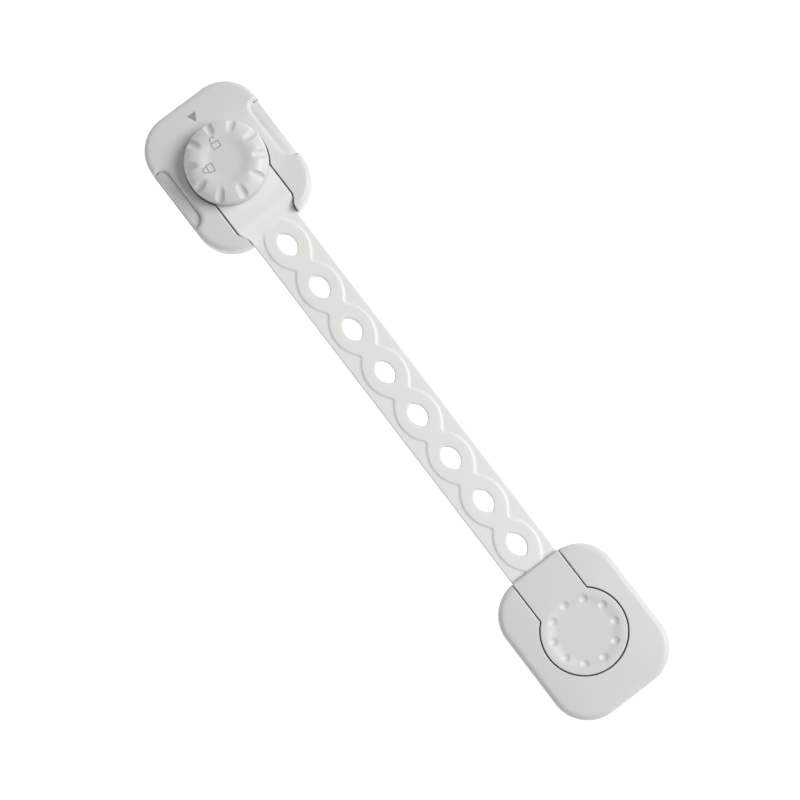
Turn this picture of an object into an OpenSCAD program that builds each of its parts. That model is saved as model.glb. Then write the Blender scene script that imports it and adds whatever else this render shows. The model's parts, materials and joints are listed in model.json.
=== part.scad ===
// Cabinet safety lock: a flexible strap with a turn-knob head that latches into a lock unit,
// and an anchor unit that holds the strap's other end. Both units stick on with foam pads.
// Millimetres. +X runs from the lock unit to the anchor unit, +Z points away from the furniture,
// and z = 0 is the adhesive face of both pads.

/* [Units] */
// Length of a unit beyond the wall of the pocket for the knob's ring, at either end
end_l = 10.7; // [10.3:0.1:12.9]
// Corner radius of the units, seen from above
corner_r = 12.5; // [9:0.5:13]
// Rounding of the units' top edge
edge_r = 1.8; // [1:0.1:2.2]
// Rise of the domed top from its edge to its middle
crown = 0.6; // [0.3:0.1:1]
// Thickness of the outer walls
wall = 1.8; // [1.4:0.1:2]
// Thickness of the top skin under its edge
skin_t = 1.4; // [1:0.1:1.5]
// Thickness of the walls and floors of the inner pockets
pocket_wall = 1; // [0.8:0.05:1.1]
// Thickness of the bottom plates
plate_t = 1.4; // [1.2:0.1:2]
// Thickness of the adhesive foam pads
pad_t = 1; // [0.6:0.1:1.6]
// How far the pads stand back from the plates' edge
pad_inset = 1.5; // [1:0.1:3]

/* [Strap] */
// Width of the strap
strap_w = 17.4; // [16:0.2:18]
// Thickness of the strap beside its raised chain
strap_t = 1.8; // [1.4:0.1:2.2]
// Height of the raised chain round the holes
relief_t = 0.4; // [0.2:0.1:0.6]
// Distance between the centres of neighbouring holes
hole_pitch = 17; // [15:0.5:20]
// Number of holes, counting the one on the anchor's post and the one under its tab
hole_count = 10; // [6:1:12]
// Distance from the lock unit's end to the first hole's centre
first_gap = 6.4; // [6:0.1:12]
// Length of a hole, along the strap
hole_l = 8.4; // [7.6:0.2:9]
// Width of a hole
hole_w = 5.4; // [5:0.1:6]
// Width of the raised chain at a hole
link_w = 13.2; // [12:0.2:14.6]
// Width of the raised chain half way between two holes
waist_w = 6.5; // [5.5:0.5:8]
// Length of the tail beyond the last hole's centre
tail_l = 7.5; // [6.5:0.5:8]

/* [Strap head] */
// Radius of the soft ring under the knob
ring_r = 13; // [12.9:0.1:13.2]
// Thickness of the soft ring
ring_t = 2.4; // [2:0.1:3]
// Width of the neck that joins the ring to the strap
neck_w = 21; // [20:0.2:21.4]
// Distance from the pocket's round wall to where the neck starts to slope down
slope_in = 4.2; // [3.5:0.1:4.9]
// Distance from where the neck has come down to the strap to the lock unit's end
slope_out = 1.5; // [1:0.1:2.4]
// Distance along the slope to where the neck starts to narrow
shoulder_in = 1.2; // [0.4:0.1:1.8]
// Distance from where the neck is as narrow as the strap to the slope's foot
shoulder_out = 0.2; // [0:0.1:0.8]
// Thickness of the hard core's disc
core_t = 1; // [0.8:0.1:1.4]
// Radius of the core's collar, which stands in the ring
collar_r = 7; // [6.8:0.1:7.4]

/* [Knob] */
// Radius of the knob
knob_r = 13.3; // [12.5:0.1:13.4]
// Height of the knob above its running gap
knob_h = 7.4; // [6.5:0.1:9]
// Width of the knob's rounded rim, from its crest to the knob's side
rim_w = 4.7; // [4:0.1:5.2]
// Height that the rim falls from its crest to the knob's side
rim_h = 3; // [2.4:0.1:3.6]
// Radius of the flat middle of the dished top
dish_r = 4.4; // [4:0.2:6.4]
// Depth of the dished top
dish_d = 0.6; // [0.4:0.1:1]
// Number of finger flutes across the rim
flute_count = 10; // [8:1:12]
// Radius of a flute's hollow
flute_r = 2; // [1.6:0.1:2.4]
// Depth of a flute in the rim
flute_d = 0.9; // [0.6:0.1:1.1]
// Radius of the knob's stem
stem_r = 3.2; // [3:0.1:3.3]
// Angle that the knob turns from unlocked to locked
turn = 78; // [70:1:84]

/* [Latch] */
// Length of the latch bar on the knob's stem
bar_l = 14.8; // [14.2:0.2:15]
// Width of the latch bar
bar_w = 6.4; // [6:0.2:7]
// Thickness of the latch bar
bar_t = 1.2; // [1:0.1:1.4]
// How far a hook reaches over the locked bar
hook_bite = 2; // [1.6:0.1:2.1]
// How much further than its bite a hook draws back
release_spare = 0.2; // [0.15:0.05:0.3]
// Thickness of a hook's lip
hook_t = 1; // [0.8:0.1:1.2]
// Width of a slider's arm
arm_w = 2; // [1.6:0.1:2]

/* [Buttons] */
// Length of the notch that a button stands in
notch_l = 21.8; // [20:0.2:22.4]
// Depth of the notch in the top skin
notch_d = 4.2; // [4:0.1:4.6]
// Offset of the notches from the knob's axis, along the strap
notch_shift = -0.7; // [-1:0.1:0]
// Depth of a button from its face to its back
button_d = 4.75; // [4.4:0.05:5.6]
// Gap between a button's back and the pocket, with the button pressed in
press_stop = 0.4; // [0.2:0.05:0.5]
// Height that a button's face falls from back to front
button_fall = 0.7; // [0.3:0.1:1]
// Outer radius of a button spring
spring_r = 1.8; // [1.5:0.1:1.9]
// Diameter of the spring wire
spring_wire = 0.4; // [0.3:0.05:0.45]
// Turns of a button spring
spring_turns = 4; // [3:0.5:4.5]

/* [Anchor unit] */
// Radius of the cap's disc
disc_r = 13.5; // [13.2:0.1:13.8]
// Thickness of the cap's tab at the mouth
tab_t = 1.7; // [1.4:0.1:2.2]
// Rounding of the tab's front edge
tab_edge_r = 0.6; // [0.4:0.1:0.8]
// Depth of the shallow dish in the disc
cap_dish_d = 0.5; // [0.3:0.1:0.7]
// Number of dimples round the disc
dimple_count = 10; // [8:1:12]
// Radius of the ring that the dimples stand on
dimple_ring_r = 9.8; // [9:0.1:10.2]
// Radius of a dimple's rim
dimple_r = 1.3; // [1:0.1:1.5]
// Depth of a dimple
dimple_d = 0.45; // [0.3:0.05:0.6]

/* [Screws] */
// Radius of a plate screw's shank
screw_r = 0.95; // [0.8:0.05:1.1]
// Radius of a plate screw's countersunk head
screw_head_r = 1.9; // [1.7:0.1:2.1]
// Length of a plate screw
screw_l = 6; // [5:0.5:6.5]
// Gap between the buttons' springs and the plate screws' bosses, along the strap
boss_gap = 1.5; // [0.8:0.1:1.6]
// Distance of the plate screws from the sides of a unit
screw_in_y = 6.2; // [6:0.1:6.4]
// Radius of the stem screw's shank
stem_screw_r = 0.95; // [0.8:0.05:1.1]
// Length of the stem screw under its head
stem_screw_l = 6; // [5:0.5:7]

/* [Clearances] */
// Open seam round the neck, the cap and the buttons
seam_gap = 0.3; // [0.25:0.05:0.35]
// Gap between faces that slide over each other
run_gap = 0.2; // [0.15:0.05:0.25]
// Gap between round pieces that fit or turn in each other
fit_gap = 0.05; // [0.03:0.01:0.08]

/* [Hidden] */
$fn = 64;

// Overrun of every cut past the face that it opens
cut = 1;
// Overlap of solids that are fused end to end
lap = 0.01;
// Steps in a corner's arc, in the rounding of an edge, in the knob's rim and in the dome
corner_steps = 12;
edge_steps = 5;
rim_steps = 8;
dome_steps = 3;
// Bevel where a housing meets its plate, which draws the parting line
parting = 0.25;

// Heights of the lock unit, stacked up from the adhesive face
z_plate = pad_t;
z_inner = z_plate + plate_t;
z_bar = z_inner + run_gap;
z_hook = z_bar + bar_t + run_gap;
z_hook_top = z_hook + hook_t;
z_floor = z_hook_top + run_gap;
z_seat = z_floor + pocket_wall;
z_core = z_seat + run_gap;
z_ring = z_core + core_t;
z_head = z_ring + ring_t;
// The dome stands this much above the flush neck at its middle
head_flush = 0.4;
lock_top = z_head + head_flush;
z_skin = lock_top - crown - skin_t;
z_slider = z_inner + run_gap;
button_top = z_skin - seam_gap;

// Heights of the strap and of the anchor unit
sill_h = 1.8;
z_sill = z_inner + sill_h;
z_strap = z_sill + run_gap;
z_strap_top = z_strap + strap_t;
z_relief = z_strap_top + relief_t;
z_tab = z_relief + run_gap;
anchor_top = z_tab + tab_t + crown;

// Latch: the bar's reach across the strap when locked, and what the hooks owe to it
bar_reach = (bar_l - bar_w) / 2 * sin(turn) + bar_w / 2;
hook_y = bar_reach - hook_bite;
press = hook_bite + release_spare;

// A unit is as long as its ends leave round the pocket, and as wide as its buttons need to travel
pocket_r = ring_r + seam_gap + pocket_wall;
end_x = pocket_r + end_l;
side_y = ring_r + seam_gap + press_stop + press + button_d;
unit_l = 2 * end_x;
unit_w = 2 * side_y;

// Places along and across the strap
first_hole = end_x + first_gap;
slope_start = pocket_r + slope_in;
slope_end = end_x - slope_out;
shoulder_start = slope_start + shoulder_in;
shoulder_end = slope_end - shoulder_out;
unit_span = first_hole + (hole_count - 1) * hole_pitch;
lock_x = -unit_span / 2;
anchor_x = unit_span / 2;

hub_gap = 0.7;
hub_r = hook_y - hub_gap;
bevel = 0.4;
lobe_clear = 0.3;
spine_y = bar_l / 2 + lobe_clear;
spine_w = 1.8;
arm_gap = 1.8;
arm_x = bar_l / 2 + arm_gap;
rail_w = 1;
rail_l = 18;
rail_h = 2.2;

// Opening in the pocket's floor that the latch bar drops through
hatch_gap = 1.1;
hatch_r = bar_l / 2 + hatch_gap;

// Stem, its drive end, its screw and the spring washer under the core
drive_r = 2.6;
drive_flat = 1.9;
drive_l = 1.8;
washer_t = 0.3;
washer_h = 0.5;
washer_r = 5.4;
washer_rim = 0.4;
hub_flange_r = washer_r + washer_rim;
z_hub_flange = z_floor;
z_hub_top = z_core - washer_h - 2 * fit_gap;
z_drive = z_hub_top - drive_l;
stem_head_r = 1.9;
stem_head_t = 0.95;
z_knob = z_head + 2 * run_gap;
z_knob_top = z_knob + knob_h;
knob_wall = 1.7;
boss_r = 6.5;
skirt_bevel = 0.5;

// Turn stop: a pin under the knob in a curved slot in the core's collar
stop_r = 5.2;
stop_pin_r = 0.6;
stop_pin_l = 1;
stop_slack = 1;
stop_from = 90 + turn / 2;

// Ears that keep a button behind the wall, with the spring nubs
ear_t = 1.5;
ear_lap = 0.5;
ear_y = side_y - wall - seam_gap - ear_t;
web_lead = 1.4;
web_y = ear_y - web_lead;
web_to = arm_x + arm_w;
spring_x = web_to + spring_r + run_gap / 2;
ear_from = arm_x - ear_lap;
ear_to = spring_x + spring_r - run_gap;
spring_z = (z_slider + button_top) / 2;
seat_t = 1;
seat_from = web_to + seam_gap;
seat_to = spring_x + spring_r;
// The seats stand in line with the neck's pocket wall, clear of the pocket's round wall
spring_seat_y = max(
    neck_w / 2 + seam_gap + pocket_wall,
    sqrt(pocket_r * pocket_r - seat_from * seat_from) + run_gap + seat_t
);
spring_l = ear_y - spring_seat_y - 2 * fit_gap;
spring_mid_r = spring_r - spring_wire / 2;

// Plate screws, outboard of the springs
boss_screw_r = 2.2;
screw_x = spring_x + spring_r + boss_gap + boss_screw_r;
screw_y = side_y - screw_in_y;

// Nubs that keep the springs on the ears
nub_r = spring_r - spring_wire - run_gap;
nub_l = 0.9;

// Corners of the notch behind and in front of the knob, and the rounding of a button's top edge
notch_r_rear = 2.8;
notch_r_front = 3.6;
button_round = 1;

// Anchor unit: pocket, post and cap
tab_w = strap_w + run_gap;
post_gap = 0.15;
post_over = 0.8;
post_top = z_tab + post_over;
skirt_t = 1.2;
cap_rim_w = 1.1;
dish_margin = 0.3;
cap_dish_r = disc_r - cap_rim_w;
cap_flat_r = dimple_ring_r - dimple_r - dish_margin;
dish_steps = 6;

// Springs: rings round one turn, sides of the wire
coil_rings = 8;
coil_sides = 6;

// Slope between two levels that leaves and meets both of them level, for a share from 0 to 1
function ease(share) = (1 - cos(180 * min(1, max(0, share)))) / 2;
function blend(a, b, share) = a + (b - a) * ease(share);

// Points of an arc about a centre
function arc(cx, cy, r, from, to, steps) =
    [for (i = [0 : steps]) let (a = from + (to - from) * i / steps) [cx + r * cos(a), cy + r * sin(a)]];

// Outline of a rectangle with round corners, centred
function round_rect(l, w, r) =
    let (x = l / 2 - r, y = w / 2 - r)
    concat(
        arc(x, y, r, 0, 90, corner_steps),
        arc(-x, y, r, 90, 180, corner_steps),
        arc(-x, -y, r, 180, 270, corner_steps),
        arc(x, -y, r, 270, 360, corner_steps)
    );

// Outline of a unit, drawn in by an inset
function unit_outline(inset) =
    round_rect(unit_l - 2 * inset, unit_w - 2 * inset, max(corner_r - inset, edge_r));

// Half width of the neck, which narrows to the strap at its shoulders
function neck_half(x) =
    blend(neck_w, strap_w, (x - shoulder_start) / (shoulder_end - shoulder_start)) / 2;

// Level of the strap head's top, and of its underside, at a distance from the knob's axis
head_slope_steps = 10;
under_lead = 0.7;
under_trail = 1.7;
under_start = slope_start - under_lead;
under_end = slope_end - under_trail;
function head_top(x) =
    blend(z_head, z_strap_top, (x - slope_start) / (slope_end - slope_start));
function head_under(x) =
    blend(z_core, z_strap, (x - under_start) / (under_end - under_start));

// The raised chain: each link is two shallow arcs, and a small fillet joins two links at the waist
link_arc_r = 11.3;
link_lift = link_arc_r - link_w / 2;
link_mid = hole_pitch / 2;
waist_fillet =
    (link_mid * link_mid + pow(waist_w / 2 + link_lift, 2) - link_arc_r * link_arc_r)
    / (2 * (link_arc_r - waist_w / 2 - link_lift));
fillet_y = waist_w / 2 + waist_fillet;
fillet_share = waist_fillet / (link_arc_r + waist_fillet);
fillet_x = link_mid * (1 - fillet_share);
function chain_half(dx) =
    let (x = abs(dx))
    x <= fillet_x
        ? sqrt(link_arc_r * link_arc_r - x * x) - link_lift
        : fillet_y - sqrt(waist_fillet * waist_fillet - pow(link_mid - x, 2));

// Side faces between rings of points, and a flat cap at either end
function loft_faces(rings, per_ring) = concat(
    [[for (k = [0 : per_ring - 1]) k]],
    [
        for (i = [0 : rings - 2])
            for (k = [0 : per_ring - 1])
                let (p = i * per_ring, q = p + per_ring, n = (k + 1) % per_ring)
                each [[p + k, q + k, q + n], [p + k, q + n, p + n]]
    ],
    [[for (k = [per_ring - 1 : -1 : 0]) (rings - 1) * per_ring + k]]
);

// A unit's outline at a level, drawn in by an inset
function unit_ring(inset, z, r) = [
    for (p = round_rect(unit_l - 2 * inset, unit_w - 2 * inset, r))
        [p[0], p[1], z]
];

// A unit's domed outer form from its plate up to its top, with a rounded edge
module domed_block(top, edge) {
    z_edge = top - crown - edge;
    dome_in = side_y - 2 * edge_r;
    rings = concat(
        [
            unit_ring(parting, z_inner, corner_r - parting),
            unit_ring(0, z_inner + parting, corner_r),
        ],
        [
            for (i = [0 : edge_steps])
                let (a = 90 * i / edge_steps, inset = edge * (1 - cos(a)))
                unit_ring(inset, z_edge + edge * sin(a), corner_r - inset)
        ],
        [
            for (i = [1 : dome_steps])
                let (
                    share = i / dome_steps,
                    inset = edge + dome_in * share,
                    rise = crown * (1 - pow(1 - share, 2))
                )
                unit_ring(inset, top - crown + rise, min(corner_r, side_y - inset) - parting)
        ]
    );
    polyhedron(
        points = [for (ring = rings) each ring],
        faces = loft_faces(len(rings), len(rings[0]))
    );
}

// The hollow inside a unit's walls, up to the underside of its top skin
module unit_hollow(z_top) {
    translate([0, 0, z_inner - cut])
        linear_extrude(z_top - z_inner + cut)
            polygon(unit_outline(wall));
}

module at_screws() {
    for (sx = [-1, 1])
        for (sy = [-1, 1])
            translate([sx * screw_x, sy * screw_y, 0])
                children();
}

// Bosses that the plate screws bite into
module screw_bosses(z_top) {
    at_screws()
        translate([0, 0, z_inner])
            cylinder(h = z_top - z_inner, r = boss_screw_r);
}

module screw_pilots() {
    at_screws()
        translate([0, 0, z_inner - cut])
            cylinder(h = screw_l + cut, r = screw_r + fit_gap);
}

// Countersunk head, shank and point of one plate screw, standing in its hole
module plate_screw() {
    head_t = screw_head_r - screw_r;
    translate([0, 0, z_plate])
        cylinder(h = head_t, r1 = screw_head_r, r2 = screw_r);
    translate([0, 0, z_plate + head_t - lap])
        cylinder(h = screw_l - head_t - screw_r, r = screw_r);
    translate([0, 0, z_plate + screw_l - screw_r - 2 * lap])
        cylinder(h = screw_r, r1 = screw_r, r2 = screw_r / 4);
}

// Foam pad with adhesive on both faces
module foam_pad() {
    linear_extrude(pad_t)
        polygon(unit_outline(pad_inset));
}

// Bottom plate with countersunk holes, and a bevelled top edge at the parting line
module bottom_plate() {
    hole_r = screw_r + fit_gap;
    sink_r = screw_head_r + fit_gap;
    difference() {
        translate([0, 0, z_plate])
            linear_extrude(plate_t)
                polygon(unit_outline(parting / 2));
        at_screws() {
            translate([0, 0, z_plate - cut])
                cylinder(h = plate_t + 2 * cut, r = hole_r);
            translate([0, 0, z_plate])
                cylinder(h = sink_r - hole_r, r1 = sink_r, r2 = hole_r);
            translate([0, 0, z_plate - cut])
                cylinder(h = cut + lap, r = sink_r);
        }
    }
}

// Plan of the strap head: the ring and its neck, grown on all sides by a gap
module head_plan(grow, x_end) {
    circle(ring_r + grow);
    upper = [
        for (i = [0 : head_slope_steps])
            let (x = shoulder_start + (shoulder_end - shoulder_start) * i / head_slope_steps)
            [x, neck_half(x) + grow]
    ];
    lower = [for (i = [head_slope_steps : -1 : 0]) [upper[i][0], -upper[i][1]]];
    polygon(concat(
        [[0, neck_w / 2 + grow]],
        upper,
        [[x_end, strap_w / 2 + grow], [x_end, -strap_w / 2 - grow]],
        lower,
        [[0, -neck_w / 2 - grow]]
    ));
}

// Stands a profile drawn in distance and height upright along the strap
module upright(width) {
    translate([0, width / 2, 0])
        rotate([90, 0, 0])
            linear_extrude(width)
                children();
}

// Space above the head's underside, lowered by a gap, out to a given distance
module above_under(drop, z_top, x_end) {
    start = -pocket_r - cut;
    slope = [
        for (i = [0 : head_slope_steps])
            let (x = under_start + (under_end - under_start) * i / head_slope_steps)
            [x, head_under(x) - drop]
    ];
    upright(unit_w)
        polygon(concat(
            [[start, z_top], [start, z_core - drop]],
            slope,
            [[x_end, z_strap - drop], [x_end, z_top]]
        ));
}

// Keyhole recess that the strap head lies in, grown for its walls and floor
module head_recess(grow, drop, z_top) {
    x_end = unit_l / 2 + cut;
    intersection() {
        translate([0, 0, z_inner])
            linear_extrude(z_top - z_inner)
                head_plan(grow, x_end);
        above_under(drop, z_top, x_end + cut);
    }
}

// Notch in the left-hand side of the lock unit. Its corners are round in the skin. Under the skin
// it is square, and opens the pocket's wall too, so that the pressed button's back has room there.
module button_notch() {
    x0 = notch_shift - notch_l / 2;
    x1 = notch_shift + notch_l / 2;
    y_in = side_y - notch_d;
    y_open = ring_r + seam_gap;
    translate([x0, y_open, z_inner - cut])
        cube([notch_l, side_y - y_open + cut, z_skin - z_inner + cut]);
    translate([0, 0, z_inner - cut])
        linear_extrude(lock_top - z_inner + 2 * cut)
            polygon(concat(
                [[x1, side_y + cut]],
                arc(x1 - notch_r_front, y_in + notch_r_front, notch_r_front, 0, -90, corner_steps),
                arc(x0 + notch_r_rear, y_in + notch_r_rear, notch_r_rear, -90, -180, corner_steps),
                [[x0, side_y + cut]]
            ));
}

// LOCK UNIT
module lock_pad() {
    color("whitesmoke")
        translate([lock_x, 0, 0])
            foam_pad();
}

// The plate carries the rails that guide the sliders and the seats of their springs
module lock_plate() {
    rail_x = arm_x + arm_w + run_gap;
    color("gainsboro")
        translate([lock_x, 0, 0]) {
            bottom_plate();
            for (side = [-1, 1]) {
                translate([side * (rail_x + rail_w / 2), 0, z_inner + rail_h / 2 - lap])
                    cube([rail_w, rail_l, rail_h], center = true);
                for (end = [-1, 1])
                    translate([
                        end * (seat_from + seat_to) / 2,
                        side * (spring_seat_y - seat_t / 2),
                        (z_inner + z_floor - run_gap) / 2 - lap
                    ])
                        cube(
                            [seat_to - seat_from, seat_t, z_floor - run_gap - z_inner],
                            center = true
                        );
            }
            // Behind the knob no pocket wall backs the springs, so these two seats stand taller
            for (side = [-1, 1])
                translate([
                    -(seat_from + seat_to) / 2,
                    side * (spring_seat_y - seat_t / 2),
                    (z_inner + button_top) / 2 - lap
                ])
                    cube([seat_to - seat_from, seat_t, button_top - z_inner], center = true);
        }
}

module lock_housing() {
    color("gainsboro")
        translate([lock_x, 0, 0])
            difference() {
                domed_block(lock_top, edge_r);
                difference() {
                    unit_hollow(z_skin);
                    head_recess(seam_gap + pocket_wall, run_gap + pocket_wall, lock_top);
                    screw_bosses(lock_top);
                }
                head_recess(seam_gap, run_gap, lock_top + cut);
                translate([0, 0, z_floor - cut])
                    cylinder(h = pocket_wall + 2 * cut, r = hatch_r);
                button_notch();
                mirror([0, 1, 0])
                    button_notch();
                screw_pilots();
            }
}

module lock_screws() {
    color("silver")
        translate([lock_x, 0, 0])
            at_screws()
                plate_screw();
}

// A button with its slider: cap in the notch, ears behind the wall, an arm, and a hook at its far end
module button_slider(arm_side) {
    cap_y = side_y - button_d;
    front = button_top - button_fall;
    arm_mid = arm_side * (arm_x + arm_w / 2);
    hook_from = -arm_side * bar_w / 3;
    slider_h = z_hook_top - z_slider;
    // Visible cap, drawn across the unit and run along the notch
    translate([notch_shift - notch_l / 2 + seam_gap, 0, 0])
        rotate([90, 0, 90])
            linear_extrude(notch_l - 2 * seam_gap)
                polygon(concat(
                    [[cap_y, z_slider], [side_y, z_slider]],
                    arc(side_y - button_round, front - button_round, button_round, 0, 75, edge_steps),
                    [[cap_y, button_top]]
                ));
    // Ears, trimmed to follow the inside of the wall
    intersection() {
        for (end = [-1, 1])
            translate([end > 0 ? ear_from : -ear_to, ear_y, z_slider])
                cube([ear_to - ear_from, ear_t, button_top - z_slider]);
        translate([0, 0, z_inner])
            linear_extrude(lock_top)
                polygon(unit_outline(wall + seam_gap));
    }
    for (end = [-1, 1])
        translate([end * spring_x, ear_y + ear_t / 2, spring_z])
            rotate([90, 0, 0])
                cylinder(h = ear_t / 2 + nub_l, r = nub_r);
    // Low web behind the cap and the wall
    translate([-web_to, web_y, z_slider])
        cube([2 * web_to, ear_y + ear_t - web_y, slider_h]);
    // Arm, spine and the hook's lip
    translate([arm_mid - arm_w / 2, -spine_y - spine_w, z_slider])
        cube([arm_w, spine_y + spine_w + ear_y + ear_t / 2, slider_h]);
    translate([min(hook_from, arm_mid), -spine_y - spine_w, z_slider])
        cube([abs(arm_mid - hook_from), spine_w, slider_h]);
    translate([min(hook_from, arm_mid), 0, 0])
        rotate([90, 0, 90])
            linear_extrude(abs(arm_mid - hook_from))
                polygon([
                    [-spine_y - spine_w / 2, z_hook],
                    [-hook_y, z_hook],
                    [-hook_y, z_hook_top - bevel],
                    [-hook_y - bevel, z_hook_top],
                    [-spine_y - spine_w / 2, z_hook_top],
                ]);
}

module button_left() {
    color("gainsboro")
        translate([lock_x, 0, 0])
            button_slider(1);
}

module button_right() {
    color("gainsboro")
        translate([lock_x, 0, 0])
            mirror([0, 1, 0])
                button_slider(-1);
}

// Coil spring along Y as one unbroken tube
coil_count = round(spring_turns * coil_rings);
function coil_point(i, side) =
    let (
        a = 360 * i / coil_rings,
        b = 360 * side / coil_sides,
        r = spring_mid_r + spring_wire / 2 * cos(b)
    )
    [
        r * cos(a),
        spring_wire / 2 * (1 + sin(b)) + (spring_l - spring_wire) * i / coil_count,
        r * sin(a)
    ];
coil_points = [
    for (i = [0 : coil_count])
        for (side = [0 : coil_sides - 1])
            coil_point(i, side)
];
coil_gap = min([
    for (i = [0 : coil_count - coil_rings])
        for (a = [0 : coil_sides - 1])
            for (b = [0 : coil_sides - 1])
                norm(coil_point(i, a) - coil_point(i + coil_rings, b))
]);
echo(least_gap_of_spring_to_itself = coil_gap);

module coil_spring() {
    polyhedron(points = coil_points, faces = loft_faces(coil_count + 1, coil_sides));
}

// Places a spring between its seat and an ear: side is +1 on the left, end is +1 towards the strap
module placed_spring(side, end) {
    color("silver")
        translate([lock_x + end * spring_x, 0, spring_z])
            mirror([0, side > 0 ? 0 : 1, 0])
                translate([0, spring_seat_y + fit_gap, 0])
                    coil_spring();
}

module spring_left_rear() {
    placed_spring(1, -1);
}

module spring_left_front() {
    placed_spring(1, 1);
}

module spring_right_rear() {
    placed_spring(-1, -1);
}

module spring_right_front() {
    placed_spring(-1, 1);
}

// STRAP AND HEAD
// Lens-shaped hole from two arcs, drawn in by an inset on its width
module hole_plan(inset) {
    l = hole_l - 2 * inset;
    w = hole_w - 2 * inset;
    arc_r = (l * l + w * w) / (4 * w);
    intersection_for (side = [-1, 1])
        translate([0, side * (arc_r - w / 2)])
            circle(arc_r);
}

// Upright profile of the strap from its head to its tail
module strap_profile() {
    tail_x = unit_span + tail_l;
    top = [
        for (i = [0 : head_slope_steps])
            let (x = slope_start + (slope_end - slope_start) * i / head_slope_steps)
            [x, head_top(x)]
    ];
    under = [
        for (i = [head_slope_steps : -1 : 0])
            let (x = under_start + (under_end - under_start) * i / head_slope_steps)
            [x, head_under(x)]
    ];
    polygon(concat(
        [[-ring_r - cut, z_core], [-ring_r - cut, z_head]],
        top,
        [[tail_x + cut, z_strap_top], [tail_x + cut, z_strap]],
        under
    ));
}

// Plan of the raised chain over all the links
chain_steps = 12;
chain_margin = 1.5;
module chain_plan() {
    x_from = first_hole - fillet_x;
    x_to = unit_span + tail_l - chain_margin;
    count = round((x_to - x_from) / hole_pitch * chain_steps);
    edge = [
        for (i = [0 : count])
            let (
                x = x_from + (x_to - x_from) * i / count,
                along = (x - first_hole) / hole_pitch,
                dx = (along - round(along)) * hole_pitch
            )
            [x, chain_half(dx)]
    ];
    polygon(concat(edge, [for (i = [count : -1 : 0]) [edge[i][0], -edge[i][1]]]));
}

module strap() {
    tail_x = unit_span + tail_l;
    tail_r = strap_w / 4;
    color("white", 0.95)
        translate([lock_x, 0, 0])
            difference() {
                union() {
                    intersection() {
                        translate([0, 0, z_strap - cut])
                            linear_extrude(z_head - z_strap + 2 * cut)
                                head_plan(0, tail_x);
                        upright(2 * ring_r + 2 * cut)
                            strap_profile();
                    }
                    translate([0, 0, z_strap_top - relief_t])
                        linear_extrude(2 * relief_t)
                            chain_plan();
                }
                // Holes for the anchor's post
                for (i = [0 : hole_count - 1])
                    translate([first_hole + i * hole_pitch, 0, z_strap - cut])
                        linear_extrude(z_relief - z_strap + 2 * cut)
                            hole_plan(0);
                // Bed of the core's disc, and the collar's hole through the ring
                translate([0, 0, z_core - cut])
                    cylinder(h = core_t + cut, r = ring_r - seam_gap + fit_gap);
                translate([0, 0, z_ring - cut])
                    cylinder(h = ring_t + 2 * cut, r = collar_r + fit_gap);
                // Round corners of the tail
                for (side = [-1, 1])
                    translate([tail_x - tail_r, side * (strap_w / 2 - tail_r), z_strap - cut])
                        difference() {
                            translate([0, side > 0 ? 0 : -2 * tail_r, 0])
                                cube([2 * tail_r, 2 * tail_r, z_relief - z_strap + 2 * cut]);
                            translate([0, 0, -cut])
                                cylinder(h = z_relief - z_strap + 4 * cut, r = tail_r);
                        }
            }
}

// Hard core moulded into the ring: disc, collar, bearing bore and the slot of the turn stop
module head_core() {
    slot_in = stop_r - stop_pin_r - run_gap;
    slot_out = stop_r + stop_pin_r + run_gap;
    slot_d = stop_pin_l + run_gap;
    sweep = turn + 2 * stop_slack;
    color("white")
        translate([lock_x, 0, 0])
            difference() {
                union() {
                    translate([0, 0, z_core])
                        cylinder(h = core_t, r = ring_r - seam_gap);
                    translate([0, 0, z_core])
                        cylinder(h = z_head - z_core, r = collar_r);
                }
                translate([0, 0, z_core - cut])
                    cylinder(h = z_head - z_core + 2 * cut, r = stem_r + fit_gap);
                translate([0, 0, z_head - slot_d]) {
                    rotate([0, 0, stop_from + stop_slack - sweep])
                        rotate_extrude(angle = sweep)
                            translate([slot_in, 0])
                                square([slot_out - slot_in, slot_d + cut]);
                    for (a = [stop_from + stop_slack - sweep, stop_from + stop_slack])
                        rotate([0, 0, a])
                            translate([stop_r, 0, 0])
                                cylinder(h = slot_d + cut, r = stop_pin_r + run_gap);
                }
            }
}

// Half outline of the knob: skirt, rounded rim, dished top, hollow under side, boss and stem
module knob_profile() {
    z_rim = z_knob_top - rim_h;
    top_in = knob_r - rim_w;
    z_dish = z_knob_top - dish_d;
    dish_run = [
        for (i = [1 : edge_steps])
            let (share = i / edge_steps)
            [top_in + (dish_r - top_in) * share, blend(z_knob_top, z_dish, share)]
    ];
    polygon(concat(
        [
            [0, z_drive],
            [stem_r, z_drive],
            [stem_r, z_head + fit_gap],
            [boss_r, z_head + fit_gap],
            [boss_r, z_dish - knob_wall],
            [knob_r - knob_wall, z_dish - knob_wall],
            [knob_r - knob_wall, z_knob],
            [knob_r - skirt_bevel, z_knob],
            [knob_r, z_knob + skirt_bevel],
        ],
        [
            for (p = arc(0, 0, 1, 0, 90, rim_steps))
                [top_in + rim_w * p[0], z_rim + rim_h * p[1]]
        ],
        dish_run,
        [[0, z_dish]]
    ));
}

// One flute: a round hollow that runs down over the rim, in line with the rim's fall
module flute() {
    fall = atan(rim_h / rim_w);
    short_share = 1 - sin(45);
    translate([knob_r - rim_w * short_share, 0, z_knob_top - rim_h * short_share])
        rotate([0, fall, 0])
            translate([0, 0, flute_r - flute_d])
                rotate([0, 90, 0])
                    cylinder(h = 3 * rim_w, r = flute_r, center = true);
}

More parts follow.
